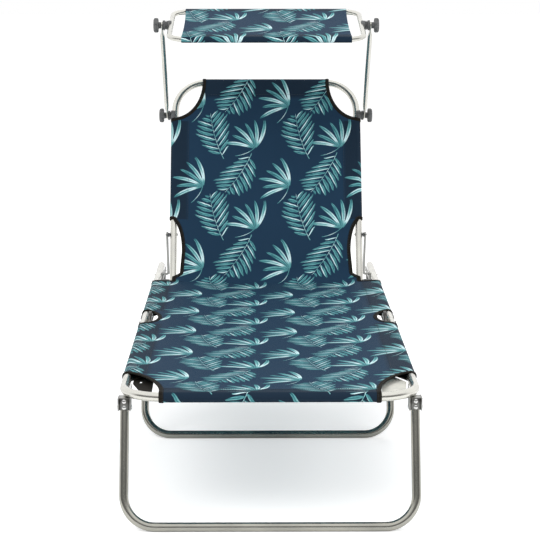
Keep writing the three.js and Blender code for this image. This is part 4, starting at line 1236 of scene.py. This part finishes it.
def bracket(leg, body, pivot_y, reach, side, sign):
    """A channel round the leg's top: a web that stops the leg and two flanges that carry its pin."""
    name = f"{leg}_bracket"
    lean, way = math.atan2(abs(reach), LEG_DROP), 1 if reach < 0 else -1
    gap = LEG_OVER * math.tan(lean) + TUBE / math.cos(lean) + CLEAR
    web, mouth = pivot_y - way * (gap + SHEET_T / 2), pivot_y + way * MOUTH
    lip, edge = web - way * LIP, BRACKET_HALF - SHEET_T / 2
    place = Matrix.Translation((sign * LEG_X, FRONT_Y, 0))
    for flank, turned_to in (("inner", -sign), ("outer", sign)):
        line = [Vector((turned_to * edge, mouth)), Vector((turned_to * edge, lip))]
        flange = strip(f"{name}_{flank}_{side}", line, SHEET_T, BRACKET_LOW, BRACKET_TOP, STEEL, place)
        fitted(flange, body, "steel_plate")
    # The web takes the darker steel: painted shade and a painted dark reflection for the channel's hollow
    line = [Vector((edge, web)), Vector((-edge, web))]
    channel = strip(f"{name}_web_{side}", line, SHEET_T, BRACKET_LOW + 0.0012, BRACKET_TOP - 0.0006,
                    SHADED_STEEL, place)
    fitted(channel, body, "steel_plate", f"{leg}_leg_bracket_{side}")
    middle, half = (web + mouth) / 2, BRACKET_HALF - 0.0025
    line = [Vector((-half, middle)), Vector((half, middle))]
    top = strip(f"{name}_top_{side}", line, abs(mouth - web) - 0.003, BRACKET_TOP - SHEET_T,
                BRACKET_TOP - 0.0002, STEEL, place)
    fitted(top, body, "steel_plate")
    upright = Matrix.Translation((sign * RIVET_X[leg], FRONT_Y + pivot_y, BRACKET_TOP)) \
        @ Matrix.Rotation(math.pi / 2, 4, "Y")
    shank = turned(f"{name}_rivet_{side}", [(0.0024, -0.008), (0.0024, 0.0)], CHROME, upright, 20)
    fitted(shank, body, "rivets")
    outside = FRONT_Y + web - way * SHEET_T / 2
    for k, z in enumerate(RIVET_ZS):
        at = Matrix.Translation((sign * LEG_X, outside, z)) @ Matrix.Rotation(-way * math.pi / 2, 4, "Z")
        dome(f"{name}_dome_{k}_{side}", radius=0.0046, height=0.0027, place=at, body=body)


for leg, body, pivot_y, reach in LEGS:
    for side, sign in SIDES:
        bracket(leg, body, pivot_y, reach, side, sign)


def stay(side, sign):
    """A bent strip that braces the front bracket's inner flange behind the corner of the tube."""
    low, high, thick = 0.218, 0.262, 0.002
    x = sign * (LEG_X - BRACKET_HALF + SHEET_T / 2)
    outline = [(0.050, low), (0.058, low), (0.076, high), (0.068, high), (0.054, 0.2427)]
    points = [(x + off, FRONT_Y + y, z) for off in (-thick / 2, thick / 2) for y, z in outline]
    count = len(outline)
    faces = [tuple(reversed(range(count))), tuple(range(count, 2 * count))]
    faces += [(k, (k + 1) % count, count + (k + 1) % count, count + k) for k in range(count)]
    made = build(f"front_stay_{side}", points, faces, STEEL)
    soften = made.modifiers.new("edges", "BEVEL")
    soften.width, soften.segments = 0.0006, 2
    fitted(outward(applied(made)), "foot", "steel_plate")


def bolt(name, body, replaced, place, y, z, low, high, head, height, shank):
    """A pin along X from low to high, with a domed head at each end. head and shank are radii."""
    rise = [(head * math.cos(t), height * math.sin(t)) for t in (math.pi / 2 * k / 6 for k in range(7))]
    profile = [(max(r, 0.0002), low - h) for r, h in reversed(rise)]
    profile += [(shank, low + 0.0001), (shank, high - 0.0001)]
    profile += [(max(r, 0.0002), high + h) for r, h in rise]
    fitted(turned(name, profile, CHROME, place @ Matrix.Translation((0, y, z)), 28), body, "rivets", replaced)


# Struts with their eyes and pins, end caps, and the rivets of the hinges and racks

# Each turned profile is [radius, along], with along measured from the frame's own middle, or for the eye from
# the strut's
STRUT_X, STRUT_R, STRUT_BEND, STRUT_TIP, STRUT_HEAD_X = 0.256, 0.00325, 0.005, 0.2713, 0.2584
EYE_AT = BACK @ Vector((0, STRUT, 0))
TIP_AT = Vector((0, PIVOT.y + 2 * STRUT * math.cos(RECLINE), TUBE_Z))
ALONG_STRUT = (TIP_AT - EYE_AT).normalized()
EYE_TO_ROD = 0.0062
EYE_RING = [(0.0022, 0.0021), (0.0074, 0.0021), (0.0079, 0.0016), (0.0079, -0.0016), (0.0074, -0.0021),
            (0.0022, -0.0021)]
EYE_HEAD = [(0.0047 * math.sin(t), 0.2299 - 0.0024 * math.cos(t))
            for t in (math.pi / 2 * k / 6 for k in range(1, 7))]
EYE_PIN = [(0.0003, 0.2275), *EYE_HEAD, (0.0024, 0.23), (0.0024, 0.2537)]
EYE_BUSH = [(0.003, 0.2485), (0.0052, 0.2487), (0.0056, 0.2492), (0.0056, 0.2505), (0.0048, 0.2509),
            (0.0056, 0.2513), (0.0056, 0.2530), (0.0052, 0.2535), (0.003, 0.2537)]
RAIL_PLUG = [(0.0078, 0.7605), (0.0078, 0.7722), (0.0089, 0.7726), (0.0089, 0.7738), (0.0083, 0.7749),
             (0.0064, 0.7758), (0.0035, 0.7763), (0.0006, 0.7765)]
RECLINE_ROLL = [(0.0042, 0.2485), (0.0066, 0.2487), (0.0070, 0.2492), (0.0070, 0.2710), (0.0066, 0.2715),
                (0.0042, 0.2717)]
RACK_RIVETS = (("front", 0.621105, 0.254), ("rear", 0.732878, 0.24545))


def strut_parts(side, sign, flip):
    """A bent strut with its eye, pin and bush, and what closes and joins the seat's tube on the same side."""
    start = EYE_AT + ALONG_STRUT * EYE_TO_ROD
    line = [(sign * STRUT_X, *start.yz), (sign * STRUT_X, *TIP_AT.yz), (sign * STRUT_TIP, *TIP_AT.yz)]
    normal = Vector((1, 0, 0)).cross(ALONG_STRUT).normalized()
    rod = tube(f"strut_rod_{side}", line, STRUT_BEND, STRUT_R, normal, STEEL, sides=20, wall=STRUT_R - 0.0006)
    fitted(rod, "struts", "steel_plate", f"strut_{side}")
    at_eye = flip @ Matrix.Translation((0, *EYE_AT.yz))
    at_ring = flip @ Matrix.Translation((STRUT_X, *EYE_AT.yz))
    at_pivot = flip @ Matrix.Translation(PIVOT)
    along_y = flip @ Matrix.Translation((SIDE_X, 0, TUBE_Z)) @ Matrix.Rotation(math.pi / 2, 4, "Z")
    fitted(turned(f"strut_eye_{side}", [(r, -x) for r, x in EYE_RING], STEEL, at_ring, 28), "struts",
           "steel_plate")
    fitted(turned(f"strut_pin_{side}", EYE_PIN, CHROME, at_eye, 24), "backrest", "rivets",
           f"strut_bolt_{side}")
    dome(f"strut_head_{side}", 0.0047, 0.0022, at_eye @ Matrix.Translation((STRUT_HEAD_X, 0, 0)), "backrest")
    fitted(turned(f"strut_bush_{side}", EYE_BUSH, GREY, at_eye, 24), "backrest", "grey_plastic")
    fitted(turned(f"rail_plug_{side}", RAIL_PLUG, PALE, along_y, 28), "seat", "grey_plastic",
           f"seat_end_cap_{side}")
    fitted(turned(f"recline_roll_{side}", RECLINE_ROLL, GREY, at_pivot, 28), "seat", "grey_plastic",
           f"recline_spacer_{side}")
    for which, y, z in RACK_RIVETS:
        bolt(f"rack_rivet_{which}_{side}", "seat", f"rack_{which}_rivet_{side}", flip, y, z,
             low=0.2672, high=0.2915, head=0.0033, height=0.0013, shank=0.0018)
    bolt(f"fold_pin_{side}", "seat", f"fold_rivet_{side}", flip, HINGE_Y, TUBE_Z + FOLD_RISE,
         low=0.2640, high=0.2731, head=0.0048, height=0.0014, shank=0.0025)


# Tabs that hang under the sling's two front corners


def tab(name, outline, slot, thick, z, finish):
    """A flat tab with a rounded outline and perhaps a slot, from a filled curve."""
    curve = bpy.data.curves.new(name, "CURVE")
    curve.dimensions, curve.fill_mode, curve.extrude = "2D", "BOTH", thick / 2 - 0.0003
    curve.bevel_depth, curve.bevel_resolution = 0.0003, 2
    for loop in [outline, slot] if slot else [outline]:
        spline = curve.splines.new("POLY")
        spline.points.add(len(loop) - 1)
        for point, at in zip(spline.points, loop):
            point.co = (at[0], at[1], 0, 1)
        spline.use_cyclic_u = True
    shape = bpy.data.objects.new(name, curve)
    bpy.context.scene.collection.objects.link(shape)
    mesh = bpy.data.meshes.new_from_object(shape.evaluated_get(bpy.context.evaluated_depsgraph_get()))
    bpy.data.objects.remove(shape)
    made = bpy.data.objects.new(name, mesh)
    bpy.context.scene.collection.objects.link(made)
    mesh.transform(Matrix.Translation((0, 0, z)))
    mesh.materials.clear()
    mesh.materials.append(finish)
    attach(outward(made), "foot")


def soft_corners(corners, radius):
    """A closed line with rounded corners, as points in order round it."""
    mid = (Vector(corners[0]) + Vector(corners[-1])) / 2
    return rounded([mid, *corners, mid], radius)[:-1]


STRAP = soft_corners([(-0.2685, -0.547), (-0.2685, -0.607), (-0.2505, -0.675), (-0.2280, -0.677),
                      (-0.2290, -0.600), (-0.2400, -0.547)], 0.006)
SLOT = soft_corners([(-0.2560, -0.606), (-0.2560, -0.588), (-0.2505, -0.588), (-0.2505, -0.606)], 0.0024)
TAG = soft_corners([(0.2390, -0.535), (0.2180, -0.600), (0.2160, -0.712), (0.2585, -0.712),
                    (0.2695, -0.600)], 0.003)
tab("corner_strap", STRAP, SLOT, thick=0.0022, z=0.2485, finish=TAPE)
tab("corner_tag", TAG, None, thick=0.0012, z=0.2492, finish=PALE)


# Stays, struts, and the bolts of the legs and the backrest

BOLT_REACH = BRACKET_HALF + CLEAR
for side, sign in SIDES:
    flip = Matrix.Diagonal((sign, 1, 1, 1))
    stay(side, sign)
    strut_parts(side, sign, flip)
    for leg, body, pivot_y, _ in LEGS:
        bolt(f"{leg}_leg_bolt_{side}", body, f"{leg}_leg_pin_{side}", flip, FRONT_Y + pivot_y, LEG_PIVOT_Z,
             low=LEG_X - BOLT_REACH, high=LEG_X + BOLT_REACH, head=0.005, height=0.0022, shank=0.003)
    bolt(f"recline_pin_{side}", "seat", f"recline_bolt_{side}", flip, PIVOT.y, PIVOT.z,
         low=BACK_X - TUBE - CLEAR, high=SIDE_X + TUBE + CLEAR, head=0.007, height=0.0038, shank=0.004)


# Frame pieces that keep their CAD shape

finishes = {"steel_plate": STEEL, "rivets": CHROME, "grey_plastic": GREY, "frame_tube": ALUMINIUM}
for entry in frame["record"]["subparts"]:
    finish = finishes.get(entry["material_slot"])
    shown = nodes[entry["node"]]
    # The hinge plates take the darker steel: painted shade for the fold's notch round them
    if "hinge_plate" in entry["node"]:
        finish = SHADED_STEEL
    if finish and not shown.hide_render:
        shown.data.materials.clear()
        shown.data.materials.append(finish)


# Floor, light and camera

floor_material, floor_tree, floor_shader = material("floor", Roughness=0.9, Specular_IOR_Level=0.1)
floor_seen = node(floor_tree, "ShaderNodeLightPath")
floor_place = node(floor_tree, "ShaderNodeTexCoord").outputs["Object"]
floor_at = node(floor_tree, "ShaderNodeSeparateXYZ", {"Vector": floor_place})
mirrored = Wire(floor_tree, floor_seen.outputs["Is Glossy Ray"])
unlit = step(Wire(floor_tree, floor_at.outputs["Y"]) * -1.0, 1.4, 1.2) * mirrored
floor_tree.links.new(blend_colour(floor_tree, unlit, rgb(0.93, 0.93, 0.93), rgb(0.2, 0.2, 0.195)),
                     floor_shader.inputs["Base Color"])
floor_lift = Wire(floor_tree, floor_seen.outputs["Is Camera Ray"]) * 0.42
floor_shader.inputs["Emission Color"].default_value = rgb(1, 1, 1)
floor_tree.links.new(floor_lift.socket, floor_shader.inputs["Emission Strength"])
floor_corners = [(-30, -30, 0), (30, -30, 0), (30, 30, 0), (-30, 30, 0)]
floor = build("floor", floor_corners, [(0, 1, 2, 3)], floor_material)

world = bpy.data.worlds.new("studio")
bpy.context.scene.world = world
world.use_nodes = True
sky = world.node_tree
background = sky.nodes["Background"]
background.inputs["Color"].default_value = rgb(1, 1, 1)
path = node(sky, "ShaderNodeLightPath")
seen = Wire(sky, path.outputs["Is Camera Ray"]).high(Wire(sky, path.outputs["Is Glossy Ray"]))
seen = seen.high(Wire(sky, path.outputs["Is Transmission Ray"]))
gaze = node(sky, "ShaderNodeTexCoord").outputs["Generated"]
towards = node(sky, "ShaderNodeSeparateXYZ", {"Vector": gaze})
wall = step(Wire(sky, towards.outputs["Y"]) * -1.0, -0.2, 0.6)
wall = wall * step(Wire(sky, towards.outputs["Z"]), 0.3, 0.4).flipped()
wall = wall * Wire(sky, path.outputs["Is Glossy Ray"])
sky.links.new((seen * 0.3 + 0.7 - wall * 0.85).socket, background.inputs["Strength"])


def soft_light(name, place, aim, size, power):
    """A round light that shines towards a point and isn't mirrored in the metal."""
    light = bpy.data.lights.new(name, "AREA")
    light.shape, light.size, light.energy = "DISK", size, power
    made = bpy.data.objects.new(name, light)
    made.location = place
    made.visible_glossy = False
    made.rotation_euler = (Vector(aim) - Vector(place)).to_track_quat("-Z", "Y").to_euler()
    bpy.context.scene.collection.objects.link(made)


soft_light("key", (-2.2, -2.6, 3.2), (0, 0, 0.3), size=2.4, power=70)
soft_light("fill", (2.8, -1.8, 2.2), (0, 0, 0.3), size=2.4, power=35)
soft_light("rear", (0.5, 2.8, 3.0), (0, 0.2, 0.3), size=2.0, power=40)

camera = bpy.data.cameras.new("camera")
camera.lens, camera.sensor_width = 123.3, 36.0
camera_object = bpy.data.objects.new("camera", camera)
camera_object.location = (-0.0267, -4.155528, 1.079)
camera_object.rotation_euler = (math.radians(80.34), 0, math.radians(-0.443))
bpy.context.scene.collection.objects.link(camera_object)
bpy.context.scene.camera = camera_object
bpy.context.scene.view_settings.view_transform = "Standard"
